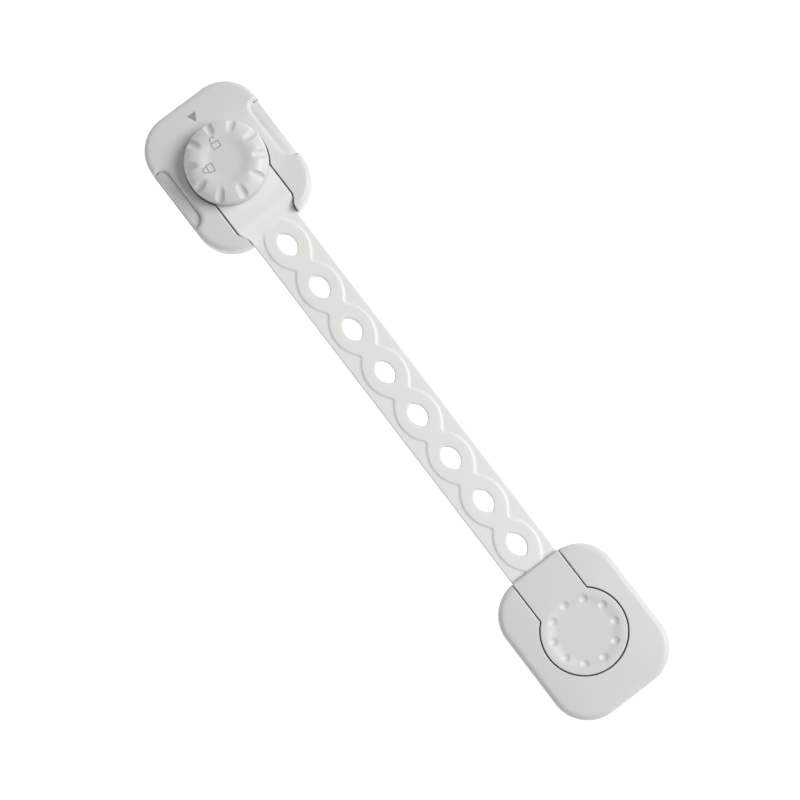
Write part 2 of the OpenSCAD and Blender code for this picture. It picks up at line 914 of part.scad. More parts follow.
module knob() {
    flute_turn = 27;
    color("gainsboro")
        translate([lock_x, 0, 0]) {
            difference() {
                rotate_extrude()
                    knob_profile();
                for (i = [0 : flute_count - 1])
                    rotate([0, 0, flute_turn + 360 * i / flute_count])
                        flute();
                // Flats of the stem's drive end
                for (side = [-1, 1])
                    translate([side > 0 ? drive_flat : -drive_flat - stem_r, -stem_r, z_drive - cut])
                        cube([stem_r, 2 * stem_r, drive_l + cut]);
                translate([0, 0, z_drive - cut])
                    difference() {
                        cylinder(h = drive_l + cut, r = stem_r + cut);
                        cylinder(h = drive_l + cut, r = drive_r);
                    }
                translate([0, 0, z_drive - cut])
                    cylinder(h = stem_screw_l + cut, r = stem_screw_r + fit_gap);
            }
            rotate([0, 0, stop_from])
                translate([stop_r, 0, z_head - stop_pin_l])
                    cylinder(h = stop_pin_l + run_gap, r = stop_pin_r);
        }
}

// Latch bar with its hub, driven by the stem's flats
module latch_bar() {
    head_bed = stem_head_t + fit_gap;
    color("white")
        translate([lock_x, 0, 0])
            difference() {
                union() {
                    translate([0, 0, z_bar]) {
                        for (end = [-1, 1])
                            translate([end * (bar_l - bar_w) / 2, 0, 0]) {
                                translate([0, 0, bevel])
                                    cylinder(h = bar_t - bevel, r = bar_w / 2);
                                cylinder(h = bevel, r1 = bar_w / 2 - bevel, r2 = bar_w / 2);
                            }
                        translate([0, 0, bar_t / 2])
                            cube([bar_l - bar_w, bar_w - 2 * bevel, bar_t], center = true);
                    }
                    translate([0, 0, z_bar])
                        cylinder(h = z_hub_top - z_bar, r = hub_r);
                    translate([0, 0, z_hub_flange])
                        cylinder(h = z_hub_top - z_hub_flange, r = hub_flange_r);
                }
                // Socket of the drive end
                translate([0, 0, z_drive - fit_gap])
                    intersection() {
                        cylinder(h = drive_l + cut, r = drive_r + fit_gap);
                        translate([-drive_flat - fit_gap, -stem_r, 0])
                            cube([2 * (drive_flat + fit_gap), 2 * stem_r, drive_l + cut]);
                    }
                translate([0, 0, z_bar - cut])
                    cylinder(h = head_bed + cut, r = stem_head_r + fit_gap);
                translate([0, 0, z_bar])
                    cylinder(h = z_drive - z_bar + cut, r = stem_screw_r + fit_gap);
            }
}

module stem_screw() {
    slot_w = 0.5;
    color("silver")
        translate([lock_x, 0, z_bar])
            difference() {
                union() {
                    cylinder(h = stem_head_t, r = stem_head_r);
                    cylinder(h = stem_screw_l + stem_head_t - run_gap, r = stem_screw_r);
                }
                for (a = [0, 90])
                    rotate([0, 0, a])
                        cube([2 * stem_screw_r, slot_w, stem_head_t], center = true);
            }
}

// Dished spring washer between the hub and the core, which holds the knob where it is left
module spring_washer() {
    inner_r = stem_r + run_gap;
    color("silver")
        translate([lock_x, 0, z_hub_top + fit_gap])
            rotate_extrude()
                polygon([
                    [inner_r, washer_h - washer_t],
                    [washer_r, 0],
                    [washer_r, washer_t],
                    [inner_r, washer_h],
                ]);
}

// ANCHOR UNIT
module anchor_pad() {
    color("whitesmoke")
        translate([anchor_x, 0, 0])
            foam_pad();
}

module anchor_plate() {
    color("gainsboro")
        translate([anchor_x, 0, 0])
            bottom_plate();
}

// Plan of the keyhole opening, grown by a gap
module keyhole_plan(r, w, grow, x_end) {
    circle(r + grow);
    translate([-x_end, -w / 2 - grow])
        square([x_end, w + 2 * grow]);
}

module anchor_housing() {
    mouth_x = unit_l / 2 + cut;
    grow = seam_gap + pocket_wall;
    color("gainsboro")
        translate([anchor_x, 0, 0]) {
            difference() {
                domed_block(anchor_top, edge_r);
                difference() {
                    unit_hollow(anchor_top - crown - skin_t);
                    translate([0, 0, z_sill - pocket_wall])
                        linear_extrude(anchor_top)
                            keyhole_plan(disc_r, tab_w, grow, mouth_x);
                    screw_bosses(anchor_top);
                }
                translate([0, 0, z_sill])
                    linear_extrude(anchor_top)
                        keyhole_plan(disc_r, tab_w, seam_gap, mouth_x);
                screw_pilots();
            }
            // Post that stands in the strap's last hole
            translate([0, 0, z_sill - pocket_wall])
                linear_extrude(post_top - z_sill + pocket_wall)
                    hole_plan(post_gap);
        }
}

module anchor_screws() {
    color("silver")
        translate([anchor_x, 0, 0])
            at_screws()
                plate_screw();
}

// Keyhole cap: tab over the strap, disc with a dished and dimpled top, skirt and post socket
module anchor_cap() {
    z_skirt = z_sill + run_gap;
    inner_r = disc_r - skirt_t;
    z_disc = anchor_top - crown * pow(disc_r / side_y, 2);
    dimple_ball_r = (dimple_r * dimple_r + dimple_d * dimple_d) / (2 * dimple_d);
    dish_width = cap_dish_r - cap_flat_r;
    dish_rise = [
        for (i = [0 : dish_steps])
            let (share = i / dish_steps)
            [cap_flat_r + dish_width * share, z_disc - cap_dish_d * (1 - ease(share))]
    ];
    z_dimples = z_disc - cap_dish_d * (1 - ease((dimple_ring_r - cap_flat_r) / dish_width));
    color("gainsboro")
        translate([anchor_x, 0, 0])
            difference() {
                intersection() {
                    domed_block(anchor_top, tab_edge_r);
                    union() {
                        translate([0, 0, z_tab])
                            linear_extrude(anchor_top)
                                keyhole_plan(disc_r, tab_w, 0, unit_l);
                        translate([0, 0, z_skirt])
                            cylinder(h = anchor_top, r = disc_r);
                    }
                }
                // Hollow inside the skirt, and the way in for the strap
                translate([0, 0, z_skirt - cut])
                    cylinder(h = z_tab - z_skirt + cut, r = inner_r);
                translate([-2 * disc_r, -tab_w / 2 - run_gap, z_skirt - cut])
                    cube([2 * disc_r, tab_w + 2 * run_gap, z_tab - z_skirt + cut]);
                // Socket that grips the post
                translate([0, 0, z_tab - cut])
                    linear_extrude(post_top - z_tab + run_gap + cut)
                        hole_plan(post_gap - fit_gap);
                rotate_extrude()
                    polygon(concat(
                        [[0, z_disc + cut], [0, z_disc - cap_dish_d]],
                        dish_rise,
                        [[cap_dish_r, z_disc + cut]]
                    ));
                for (i = [0 : dimple_count - 1])
                    rotate([0, 0, 360 * i / dimple_count])
                        translate([
                            dimple_ring_r,
                            0,
                            z_dimples - dimple_d + dimple_ball_r
                        ])
                            sphere(dimple_ball_r);
            }
}

lock_pad();
lock_plate();
lock_housing();
lock_screws();
button_left();
button_right();
spring_left_rear();
spring_left_front();
spring_right_rear();
spring_right_front();
strap();
head_core();
knob();
latch_bar();
stem_screw();
spring_washer();
anchor_pad();
anchor_plate();
anchor_housing();
anchor_screws();
anchor_cap();
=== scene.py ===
# Cabinet safety lock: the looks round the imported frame.
# Sizes are in millimetres, as in the part's source. mesh_of() turns them into Blender's metres.
import json
import math

import bmesh
import bpy
import numpy as np
from mathutils import Matrix, Vector
from mathutils.geometry import delaunay_2d_cdt


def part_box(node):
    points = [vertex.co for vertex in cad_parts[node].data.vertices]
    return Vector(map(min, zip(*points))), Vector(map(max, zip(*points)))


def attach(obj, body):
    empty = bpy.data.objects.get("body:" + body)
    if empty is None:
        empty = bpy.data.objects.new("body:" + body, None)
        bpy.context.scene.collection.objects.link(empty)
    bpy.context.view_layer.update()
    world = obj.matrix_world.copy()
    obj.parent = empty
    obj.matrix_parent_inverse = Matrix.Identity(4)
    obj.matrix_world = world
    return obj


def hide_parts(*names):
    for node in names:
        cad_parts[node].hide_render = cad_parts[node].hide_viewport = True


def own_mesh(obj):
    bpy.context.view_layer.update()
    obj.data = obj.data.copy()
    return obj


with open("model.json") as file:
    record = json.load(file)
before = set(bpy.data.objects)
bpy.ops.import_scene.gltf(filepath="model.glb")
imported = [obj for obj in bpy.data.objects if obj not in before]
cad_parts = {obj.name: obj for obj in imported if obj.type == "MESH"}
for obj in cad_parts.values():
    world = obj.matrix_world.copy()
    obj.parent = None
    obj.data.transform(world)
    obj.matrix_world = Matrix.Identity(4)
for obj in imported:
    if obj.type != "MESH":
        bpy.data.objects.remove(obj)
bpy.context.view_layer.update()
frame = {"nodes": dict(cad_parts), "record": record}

MM = 0.001
# Level of a cut where there is none
NO_CUT = 99


# Sizes. Those that the frame shows are read from it, and the rest are as in the part's source
def corners(name):
    """A CAD node's lowest and highest corners."""
    return [np.round(np.array(corner) / MM, 3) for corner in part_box(name)]


# Both units: their middles along the strap, their outline, the fall of their domed tops, and the step of the
# parting line between housing and plate
(lock_rear, _, Z_INNER), (lock_end, HALF_W, _) = corners("lock_housing")
(anchor_end, _, _), (anchor_rear, _, _) = corners("anchor_housing")
LOCK_X, ANCHOR_X = (lock_rear + lock_end) / 2, (anchor_end + anchor_rear) / 2
HALF_L, CORNER_R, EDGE_R, CROWN, PARTING = (lock_end - lock_rear) / 2, 12.5, 1.8, 0.6, 0.25
# Radii of a housing's moulded edges: at its side, at a button's notch and at the keyhole
EDGE_ROUND = {"outside": EDGE_R, "notch": 1.35, "opening": 0.22}
# Width of the open seam that shows round the neck and the cap, along the cap's tab, and round the knob
SHOWN_SEAM, TAB_SEAM, KNOB_SEAM = 0.45, 0.36, 0.3

# Strap: its levels, its head ring round the hard core, and the stretches over which its top slopes down from
# the head, its underside does, and its neck narrows
(head_rear, _, Z_STRAP), (tail_end, _, Z_HEAD) = corners("strap")
Z_CORE = corners("head_core")[0][2]
Z_RING, Z_STRAP_TOP = Z_CORE + 1.0, Z_STRAP + 1.8
RING_R, BED_R, COLLAR_R = LOCK_X - head_rear, LOCK_X - head_rear - 0.25, 7.05
NECK_W, STRAP_W = 21.0, 17.4
SLOPE, UNDER, SHOULDER = (19.2, 24.2), (17.8, 21.8), (19.4, 23.6)
SIDE_ROUND, HOLE_ROUND, CRISP_ROUND = 0.4, 0.4, 0.2
# Its holes, and the raised chain of links round them
PITCH, HOLES, TAIL = 17.0, 10, tail_end - ANCHOR_X
FIRST_HOLE = ANCHOR_X - LOCK_X - (HOLES - 1) * PITCH
HOLE_L, HOLE_W, LINK_W, WAIST_W, LINK_ARC_R = 8.4, 5.4, 13.2, 6.5, 11.3
RELIEF, RELIEF_RUN = 0.4, 0.9

# Housings: the levels of their tops and of the undersides of their roofs, the thickness of the skin, how far
# it turns down at an opening, and how far the walls behind it draw back
LOCK_TOP, LOCK_SKIN = Z_HEAD + 0.4, Z_HEAD - 1.6
ANCHOR_TOP, ANCHOR_SKIN = 9.1, 7.1
SKIN_WALL, SKIN_LIP = 0.9, 0.5
BACK = {"outside": 0.2, "opening": 0.15, "notch": 0.9, "notch wall": 0.04}

# Button's notch, from the lock's middle, and the button in it. A button's CAD face falls by BUTTON_SLOPE for
# each millimetre outwards from BUTTON_BACK, and its moulding is flatter by BUTTON_LIFT
NOTCH = {"front": 10.2, "rear": -11.6, "inner": HALF_W - 4.2, "r_front": 3.6, "r_rear": 2.8}
BUTTON_TOP = corners("button_left")[1][2]
BUTTON_ROUND, BUTTON_INSET, BUTTON_BACK, BUTTON_LOW = 1.0, 0.45, 15.9, 5.8
BUTTON_SLOPE, BUTTON_LIFT, BUTTON_EDGE_R = 0.183, 0.116, 0.15

# Knob: its rim, dished middle and flutes, its hollow and boss, and the stem with its flats, hole and pin
KNOB_R, KNOB_TOP = corners("knob")[1][1:]
RIM_W, RIM_H, DISH_R, DISH_D = 4.7, 3.0, 4.4, 0.6
FLUTES, FLUTE_R, FLUTE_D, FLUTE_TURN = 10, 1.55, 1.0, 27.0
FOOT_R, KNOB_WALL, BOSS_R, Z_BOSS = 0.5, 1.7, 6.5, 9.85
STEM_R, DRIVE_R, DRIVE_FLAT, PILOT_R = 3.2, 2.6, 1.9, 1.0
Z_DRIVE, Z_STEM, Z_PILOT, Z_STEM_TOP = 4.0, 5.8, 9.9, 10.4
PIN_R, PIN_RING, PIN_TURN, PIN_Z = 0.6, 5.2, 129, (8.8, 10.3)

# Anchor cap: its disc and tab, the dish and the dimples
DISC_R = corners("anchor_cap")[1][0] - ANCHOR_X
Z_DISC, CAP_EDGE_R = ANCHOR_TOP - CROWN * (DISC_R / HALF_W) ** 2, 0.18
# Levels of the new top's base, of the CAD cap's part that stays, and of what is over that once it is lowered
Z_CAP_BASE, Z_CAP_KEPT, Z_CAP_SUNK = 7.2, 7.9, 7.5
TAB_W, TAB_EDGE_R, CAP_FLAT_R, CAP_DISH_R, CAP_DISH_D = 17.6, 0.6, 8.2, DISC_R - 1.1, 0.5
DIMPLES, DIMPLE_RING, DIMPLE_R, DIMPLE_D = 10, 9.8, 1.3, 0.45

# Springs behind the buttons, and the foam pads
SPRING_X, SPRING_Z, SPRING_SEAT, SPRING_L, SPRING_R, WIRE_R = 13.1, 5.25, 11.85, 5.15, 1.6, 0.2
SPRING_TURNS, PAD_INSET, PAD_T = 4, 1.5, 1.0
# Print: the width of the padlocks' lines, and how far their film stands over the knob and reaches into it
LINE_W, FILM, SUNK = 0.32, 0.018, 0.05
# Place and turn in degrees of the open and the shut padlock on the knob, and the triangle's corners
PADLOCKS = ((-5.65, 0.45, 89, False), (-0.75, -5.26, 172, True))
POINTER = [(-20.1, 2.2), (-20.1, -0.95), (-17.0, 0.45)]


# Camera and light
def place_camera():
    """A camera almost straight above, tipped a few degrees, in which the strap runs down to the right.
    Its axes, place and focal length put the units where the photograph has them."""
    data = bpy.data.cameras.new("camera")
    cam = bpy.data.objects.new("camera", data)
    bpy.context.scene.collection.objects.link(cam)
    right = Vector((0.60433, 0.79644, -0.02178)).normalized()
    up = Vector((-0.78987, 0.60247, 0.11459)).normalized()
    back = right.cross(up).normalized()
    up = back.cross(right).normalized()
    turn = Matrix((right, up, back)).transposed()
    cam.matrix_world = Matrix.Translation((0.08869, -0.04585, 0.8492)) @ turn.to_4x4()
    sensor_mm, focal_px, picture_px = 36, 2707.4, 800
    data.sensor_width = sensor_mm
    data.lens = sensor_mm * focal_px / picture_px
    data.clip_start, data.clip_end = 0.01, 10
    bpy.context.scene.camera = cam


def area_light(name, place, size, power):
    """A round lamp, with its place and size in metres and its power in watts, aimed at the lock."""
    data = bpy.data.lights.new(name, "AREA")
    data.shape, data.size, data.energy = "DISK", size, power
    lamp = bpy.data.objects.new(name, data)
    bpy.context.scene.collection.objects.link(lamp)
    lamp.location = place
    lamp.rotation_euler = (-Vector(place)).to_track_quat("-Z", "Y").to_euler()


def light_studio():
    """A large soft key from the picture's right, high up, and a pale sky."""
    area_light("key", (0.36, 0.88, 1.13), 0.95, 17.5)
    bpy.context.scene.view_settings.view_transform = "Standard"
    world = bpy.data.worlds.new("studio")
    bpy.context.scene.world = world
    world.use_nodes = True
    sky = world.node_tree.nodes["Background"]
    sky.inputs["Color"].default_value = (1, 1, 1, 1)
    sky.inputs["Strength"].default_value = 0.3


def lay_floor():
    """A table top of 5 by 5 m, a hair under the foam pads."""
    mesh = bpy.data.meshes.new("floor")
    half = 2.5
    square = [(-half, -half, 0), (half, -half, 0), (half, half, 0), (-half, half, 0)]
    mesh.from_pydata(square, [], [(0, 1, 2, 3)])
    floor = bpy.data.objects.new("floor", mesh)
    bpy.context.scene.collection.objects.link(floor)
    floor.location.z = -0.1 * MM
    floor.data.materials.append(light_table())


# Materials
def linear(hex_code):
    """An sRGB hex colour as the linear colour that a shader takes."""
    channels = [int(hex_code[i : i + 2], 16) / 255 for i in (0, 2, 4)]
    return [c / 12.92 if c <= 0.04045 else ((c + 0.055) / 1.055) ** 2.4 for c in channels] + [1]


def node(tree, kind, settings=(), links=()):
    """Adds a node. Settings are attributes, or input values by name or number. Links are {input: output}."""
    made = tree.nodes.new(kind)
    for key, value in dict(settings).items():
        if isinstance(key, str) and hasattr(made, key):
            setattr(made, key, value)
        else:
            made.inputs[key].default_value = value
    for key, socket in dict(links).items():
        tree.links.new(socket, made.inputs[key])
    return made


def new_material(name):
    """A material, its node tree, its shader, and the place on the piece that its patterns follow."""
    mat = bpy.data.materials.new(name)
    mat.use_nodes = True
    tree = mat.node_tree
    place = node(tree, "ShaderNodeTexCoord").outputs["Object"]
    return mat, tree, tree.nodes["Principled BSDF"], place


def light_table():
    """Opal acrylic over a light table: it stays white under the lock and throws light on the lower edges."""
    mat, _, shader, _ = new_material("opal_light_table")
    shader.inputs["Base Color"].default_value = linear("808080")
    shader.inputs["Roughness"].default_value = 0.9
    shader.inputs["Emission Color"].default_value = (1, 1, 1, 1)
    shader.inputs["Emission Strength"].default_value = 1.0
    return mat


def moulded(name, hex_code, roughness, grain_mm, grain_height, soft=0.0):
    """Injection-moulded plastic: a spark-eroded grain in its skin, and a faint cloudiness from the flow in
    the mould. The real grain is about 0.05 mm, too fine to show, so it is drawn several times as coarse."""
    mat, tree, shader, place = new_material(name)
    flow_mm, cloud, ior = 14, 0.015, 1.53
    grain = node(tree, "ShaderNodeTexNoise", {"Scale": 1 / (grain_mm * MM), "Detail": 2.0}, {"Vector": place})
    flow = node(tree, "ShaderNodeTexNoise", {"Scale": 1 / (flow_mm * MM), "Detail": 2.0}, {"Vector": place})
    base = linear(hex_code)[:3]
    dark = [c * (1 - cloud) for c in base] + [1]
    pale = [min(1, c * (1 + cloud)) for c in base] + [1]
    tone = node(tree, "ShaderNodeMix", {"data_type": "RGBA", 6: dark, 7: pale},
                {"Factor": flow.outputs["Fac"]})
    tree.links.new(tone.outputs[2], shader.inputs["Base Color"])
    sheen = node(tree, "ShaderNodeMapRange", {"To Min": roughness - 0.04, "To Max": roughness + 0.04},
                 {"Value": grain.outputs["Fac"]})
    tree.links.new(sheen.outputs["Result"], shader.inputs["Roughness"])
    bump = node(tree, "ShaderNodeBump", {"Strength": 0.3, "Distance": grain_height * MM},
                {"Height": grain.outputs["Fac"]})
    tree.links.new(bump.outputs["Normal"], shader.inputs["Normal"])
    shader.inputs["IOR"].default_value = ior
    if soft:
        shader.inputs["Subsurface Weight"].default_value = soft
        shader.inputs["Subsurface Radius"].default_value = (1, 1, 1)
        shader.inputs["Subsurface Scale"].default_value = 1.2 * MM
    return mat


def closed_cell_foam():
    """Closed-cell polyethylene foam: burst cells of 0.35 mm on its cut edge, matt and bright."""
    mat, tree, shader, place = new_material("closed_cell_pe_foam")
    cell_mm, cell_depth = 0.35, 0.1
    cells = node(tree, "ShaderNodeTexVoronoi", {"Scale": 1 / (cell_mm * MM)}, {"Vector": place})
    tone = node(tree, "ShaderNodeMix", {"data_type": "RGBA", 6: linear("F6F6F4"), 7: linear("D9D9D5")},
                {"Factor": cells.outputs["Distance"]})
    tree.links.new(tone.outputs[2], shader.inputs["Base Color"])
    bump = node(tree, "ShaderNodeBump", {"Strength": 0.8, "Distance": cell_depth * MM},
                {"Height": cells.outputs["Distance"]})
    tree.links.new(bump.outputs["Normal"], shader.inputs["Normal"])
    shader.inputs["Roughness"].default_value = 0.85
    shader.inputs["IOR"].default_value = 1.5
    return mat


def steel(name, hex_code, roughness, streak_mm):
    """Plated or drawn steel: fine streaks along the wire or shank break up its reflections. The real ones are
    a few hundredths of a millimetre apart, so they are drawn about ten times as coarse."""
    mat, tree, shader, place = new_material(name)
    stretch = node(tree, "ShaderNodeMapping", {"Scale": (1, 1, 6)}, {"Vector": place})
    streaks = node(tree, "ShaderNodeTexNoise", {"Scale": 1 / (streak_mm * MM), "Detail": 3.0},
                   {"Vector": stretch.outputs["Vector"]})
    base = linear(hex_code)[:3]
    tone = node(tree, "ShaderNodeMix", {"data_type": "RGBA", 6: [c * 0.8 for c in base] + [1], 7: base + [1]},
                {"Factor": streaks.outputs["Fac"]})
    tree.links.new(tone.outputs[2], shader.inputs["Base Color"])
    sheen = node(tree, "ShaderNodeMapRange", {"To Min": roughness - 0.08, "To Max": roughness + 0.08},
                 {"Value": streaks.outputs["Fac"]})
    tree.links.new(sheen.outputs["Result"], shader.inputs["Roughness"])
    shader.inputs["Metallic"].default_value = 1.0
    return mat


def pad_print():
    """Pad-printed grey ink: a thin matt film with slightly uneven cover."""
    mat, tree, shader, place = new_material("pad_printed_ink")
    patch_mm = 0.3
    cover = node(tree, "ShaderNodeTexNoise", {"Scale": 1 / (patch_mm * MM), "Detail": 3.0}, {"Vector": place})
    tone = node(tree, "ShaderNodeMix", {"data_type": "RGBA", 6: linear("959593"), 7: linear("A6A6A3")},
                {"Factor": cover.outputs["Fac"]})
    tree.links.new(tone.outputs[2], shader.inputs["Base Color"])
    shader.inputs["Roughness"].default_value = 0.6
    return mat


# ABS of the housings, buttons and cap: a satin cool white that shades softly towards its edges
BODY = moulded("moulded_abs_body", "DEDFDC", 0.42, 0.25, 0.02)
# ABS of the knob: the same white a shade darker, and a little smoother from handling
KNOB = moulded("moulded_abs_knob", "DCDDD9", 0.38, 0.25, 0.015)
# Soft TPE of the strap: paler and duller, with light that sinks in and lifts its shadows
STRAP = moulded("moulded_tpe_strap", "EEEEEB", 0.5, 0.4, 0.02, soft=0.25)
# Acetal of the core and the latch bar: a slick, faintly warm white
ACETAL = moulded("moulded_acetal", "E4E3DC", 0.3, 0.2, 0.01)
# Foam of the sticky pads: a bright, matt, finely pitted edge
FOAM = closed_cell_foam()
# Zinc plating of the screws: a bluish bright metal
ZINC = steel("zinc_plated_steel", "B5B8BC", 0.32, 0.4)
# Drawn wire of the springs and the washer: a darker, smoother steel
SPRING = steel("drawn_spring_steel", "9C9C9C", 0.28, 0.3)
# Ink of the padlocks and the triangle: flat mid grey
INK = pad_print()


# Plan shapes and skins
def arc(cx, cy, r, start, end, steps):
    angles = [math.radians(start + (end - start) * i / steps) for i in range(steps + 1)]
    return [(cx + r * math.cos(a), cy + r * math.sin(a)) for a in angles]


def ease(share):
    """Leaves 0 and meets 1 level."""
    return (1 - np.cos(np.pi * np.clip(share, 0, 1))) / 2


def ramp(x, span, start, end):
    """Goes smoothly from one value to another as x crosses a span."""
    return start + (end - start) * ease((x - span[0]) / (span[1] - span[0]))


def fold(x, y, count, turn=0.0):
    """A point's place in its sector of a ring: its radius, then along and across the sector's middle."""
    r, part = np.hypot(x, y), math.radians(360 / count)
    bend = (np.arctan2(y, x) - math.radians(turn) + part / 2) % part - part / 2
    return r, r * np.cos(bend), r * np.sin(bend)


def walk(points, step):
    """The same path with no two points further apart than a step."""
    path = [points[0]]
    for a, b in zip(points, points[1:]):
        n = max(1, math.ceil(math.dist(a, b) / step - 1e-6))
        run, rise = b[0] - a[0], b[1] - a[1]
        path += [(a[0] + run * i / n, a[1] + rise * i / n) for i in range(1, n + 1)]
    return path


def trace(sections, step):
    """Joins (kind, path) sections into a closed loop. Gives its points and the kind of each edge."""
    points, kinds = [], []
    for kind, path in sections:
        path = walk(path, step)
        points += path[:-1]
        kinds += [kind] * (len(path) - 1)
    return points, kinds


def edges_of(*loops):
    return np.array([pair for loop in loops for pair in zip(loop, loop[1:] + loop[:1])], float)


def distance_to(points, edges):
    """Distance from each point to the nearest of the edges."""
    p = np.asarray(points, float).reshape(-1, 1, 2)
    a, run = edges[:, 0], edges[:, 1] - edges[:, 0]
    share = np.clip(((p - a) * run).sum(2) / (run * run).sum(1), 0, 1)
    return np.linalg.norm(p - a - share[..., None] * run, axis=2).min(1)


def inside(points, edges):
    """True for each point that the edges enclose."""
    p = np.asarray(points, float).reshape(-1, 1, 2)
    (ax, ay), (bx, by) = edges[:, 0].T, edges[:, 1].T
    px, py = p[..., 0], p[..., 1]
    with np.errstate(divide="ignore", invalid="ignore"):
        crosses = ((ay > py) != (by > py)) & (px < (bx - ax) * (py - ay) / (by - ay) + ax)
    return crosses.sum(1) % 2 == 1


def set_in(loop, depths):
    """A loop moved in by a depth at each point; the material lies on the loop's left."""
    p = np.array(loop)
    ahead = np.roll(p, -1, 0) - p
    ahead /= np.linalg.norm(ahead, axis=1)[:, None]
    left = np.stack([-ahead[:, 1], ahead[:, 0]], 1)
    mean = left + np.roll(left, 1, 0)
    mean /= np.linalg.norm(mean, axis=1)[:, None]
    stretch = np.clip((mean * left).sum(1), 0.6, 1)
    return p + mean * (np.asarray(depths) / stretch)[:, None]


def edge_spots(loops, radii, edges, steps=5):
    """Points of a plan that follow its rounded edges, one row for each step of the rounding."""
    spots = []
    for loop, radius in zip(loops, radii):
        radius = np.broadcast_to(radius, len(loop))
        for i in range(1, steps + 1):
            depth = radius * (1 - math.cos(math.radians(90 * i / steps)))
            row = set_in(loop, depth)
            keep = (distance_to(row, edges) > depth * 0.93 - 0.005) & (depth > 0.004) & inside(row, edges)
            spots.append(row[keep])
    return np.concatenate(spots)


def grid_spots(edges, step, clear):
    """Points on a triangular grid inside a plan, clear of its edges."""
    low, high = edges.reshape(-1, 2).min(0), edges.reshape(-1, 2).max(0)
    rows = np.arange(low[1], high[1], step * 0.866)
    grid = np.array(
        [(x + (i % 2) * step / 2, y) for i, y in enumerate(rows) for x in np.arange(low[0], high[0], step)]
    )
    grid = grid[inside(grid, edges)]
    return grid[distance_to(grid, edges) > clear]


def skin(loops, spots, level, up=True):
    """Triangles over a plan, through its loops and spots, at the level that level(x, y) gives."""
    spots = np.asarray(spots, float).reshape(-1, 2)
    spread = np.concatenate([np.array(loop, float) for loop in loops] + [spots])
    joins, start = [], 0
    for loop in loops:
        joins += [(start + i, start + (i + 1) % len(loop)) for i in range(len(loop))]
        start += len(loop)
    verts, _, faces, _, _, _ = delaunay_2d_cdt([Vector(p) for p in spread], joins, [], 0, 1e-6)
    verts = np.array([tuple(v) for v in verts])
    faces = np.array([f[:3] for f in faces])
    faces = faces[inside(verts[faces].mean(1), edges_of(*loops))]
    a, b, c = verts[faces[:, 0]], verts[faces[:, 1]], verts[faces[:, 2]]
    turn = (b[:, 0] - a[:, 0]) * (c[:, 1] - a[:, 1]) - (b[:, 1] - a[:, 1]) * (c[:, 0] - a[:, 0])
    faces[(turn < 0) == up] = faces[(turn < 0) == up][:, ::-1]
    z = np.broadcast_to(level(verts[:, 0], verts[:, 1]), len(verts))
    return [(x, y, h) for (x, y), h in zip(verts, z)], [tuple(f) for f in faces]


def flat(z):
    """The same level all over, for skin()."""
    return lambda x, y: z


def strip(upper, lower, closed=True):
    """Wall between two rows of points, with the material on the rows' left."""
    n = len(upper)
    faces = [(i, i + n, (i + 1) % n + n, (i + 1) % n) for i in range(n if closed else n - 1)]
    return [tuple(p) for p in upper] + [tuple(p) for p in lower], faces


def at_level(loop, z):
    z = np.broadcast_to(z, len(loop))
    return [(p[0], p[1], h) for p, h in zip(loop, z)]


def round_off(depth, r):
    """How far a rounded edge has fallen at a depth in from it."""
    return r - np.sqrt(np.maximum(r * r - (r - np.clip(depth, 0, r)) ** 2, 0))


def lower_of(whole, cut, soft):
    """The lower of two levels, with the edge between them eased over a height."""
    near = np.maximum(soft - np.abs(whole - cut), 0) / soft
    return np.minimum(whole, cut) - near**2 * soft / 4


def as_mesh(bm, name):
    mesh = bpy.data.meshes.new(name)
    bm.to_mesh(mesh)
    bm.free()
    return mesh


def joined(parts):
    points, faces = [], []
    for part_points, part_faces in parts:
        faces += [tuple(i + len(points) for i in f) for f in part_faces]
        points += part_points
    return points, faces


def mesh_of(name, parts, shift=0.0):
    """One mesh, in metres, from parts in millimetres that share their seams."""
    points, faces = joined(parts)
    bm = bmesh.new()
    verts = [bm.verts.new(((x + shift) * MM, y * MM, z * MM)) for x, y, z in points]
    for f in faces:
        if len(set(f)) > 2:
            try:
                bm.faces.new([verts[i] for i in f])
            except ValueError:
                pass
    bmesh.ops.remove_doubles(bm, verts=bm.verts, dist=1e-6)
    return as_mesh(bm, name)


def put(name, mesh):
    obj = bpy.data.objects.new(name, mesh)
    bpy.context.scene.collection.objects.link(obj)
    return obj


def join_into(obj, other_mesh):
    """Adds another closed mesh to a piece."""
    bm = bmesh.new()
    bm.from_mesh(obj.data)
    bm.from_mesh(other_mesh)
    bm.to_mesh(obj.data)
    bm.free()


def mend(mesh, weld=0.0, outwards=False):
    """Welds a mesh's doubles up to a distance in metres, and turns its faces outwards if that is asked."""
    bm = bmesh.new()
    bm.from_mesh(mesh)
    if weld:
        bmesh.ops.remove_doubles(bm, verts=bm.verts, dist=weld)
    if outwards:
        bmesh.ops.recalc_face_normals(bm, faces=bm.faces)
    bm.to_mesh(mesh)
    bm.free()


def slide(mesh, shift):
    """Moves a mesh along the strap, by millimetres."""
    mesh.transform(Matrix.Translation((shift * MM, 0, 0)))


def apply_modifiers(obj):
    mesh = bpy.data.meshes.new_from_object(obj.evaluated_get(bpy.context.evaluated_depsgraph_get()))
    obj.modifiers.clear()
    obj.data = mesh


def finish_piece(obj, body, nodes, material, angle=32):
    """Smooth shading up to an angle, one material, and its place in the frame."""
    mesh = obj.data
    mesh.materials.clear()
    mesh.materials.append(material)
    mesh.polygons.foreach_set("material_index", [0] * len(mesh.polygons))
    mesh.polygons.foreach_set("use_smooth", [True] * len(mesh.polygons))
    mesh.set_sharp_from_angle(angle=math.radians(angle))
    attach(obj, body)
    if nodes:
        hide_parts(*nodes)
    return obj


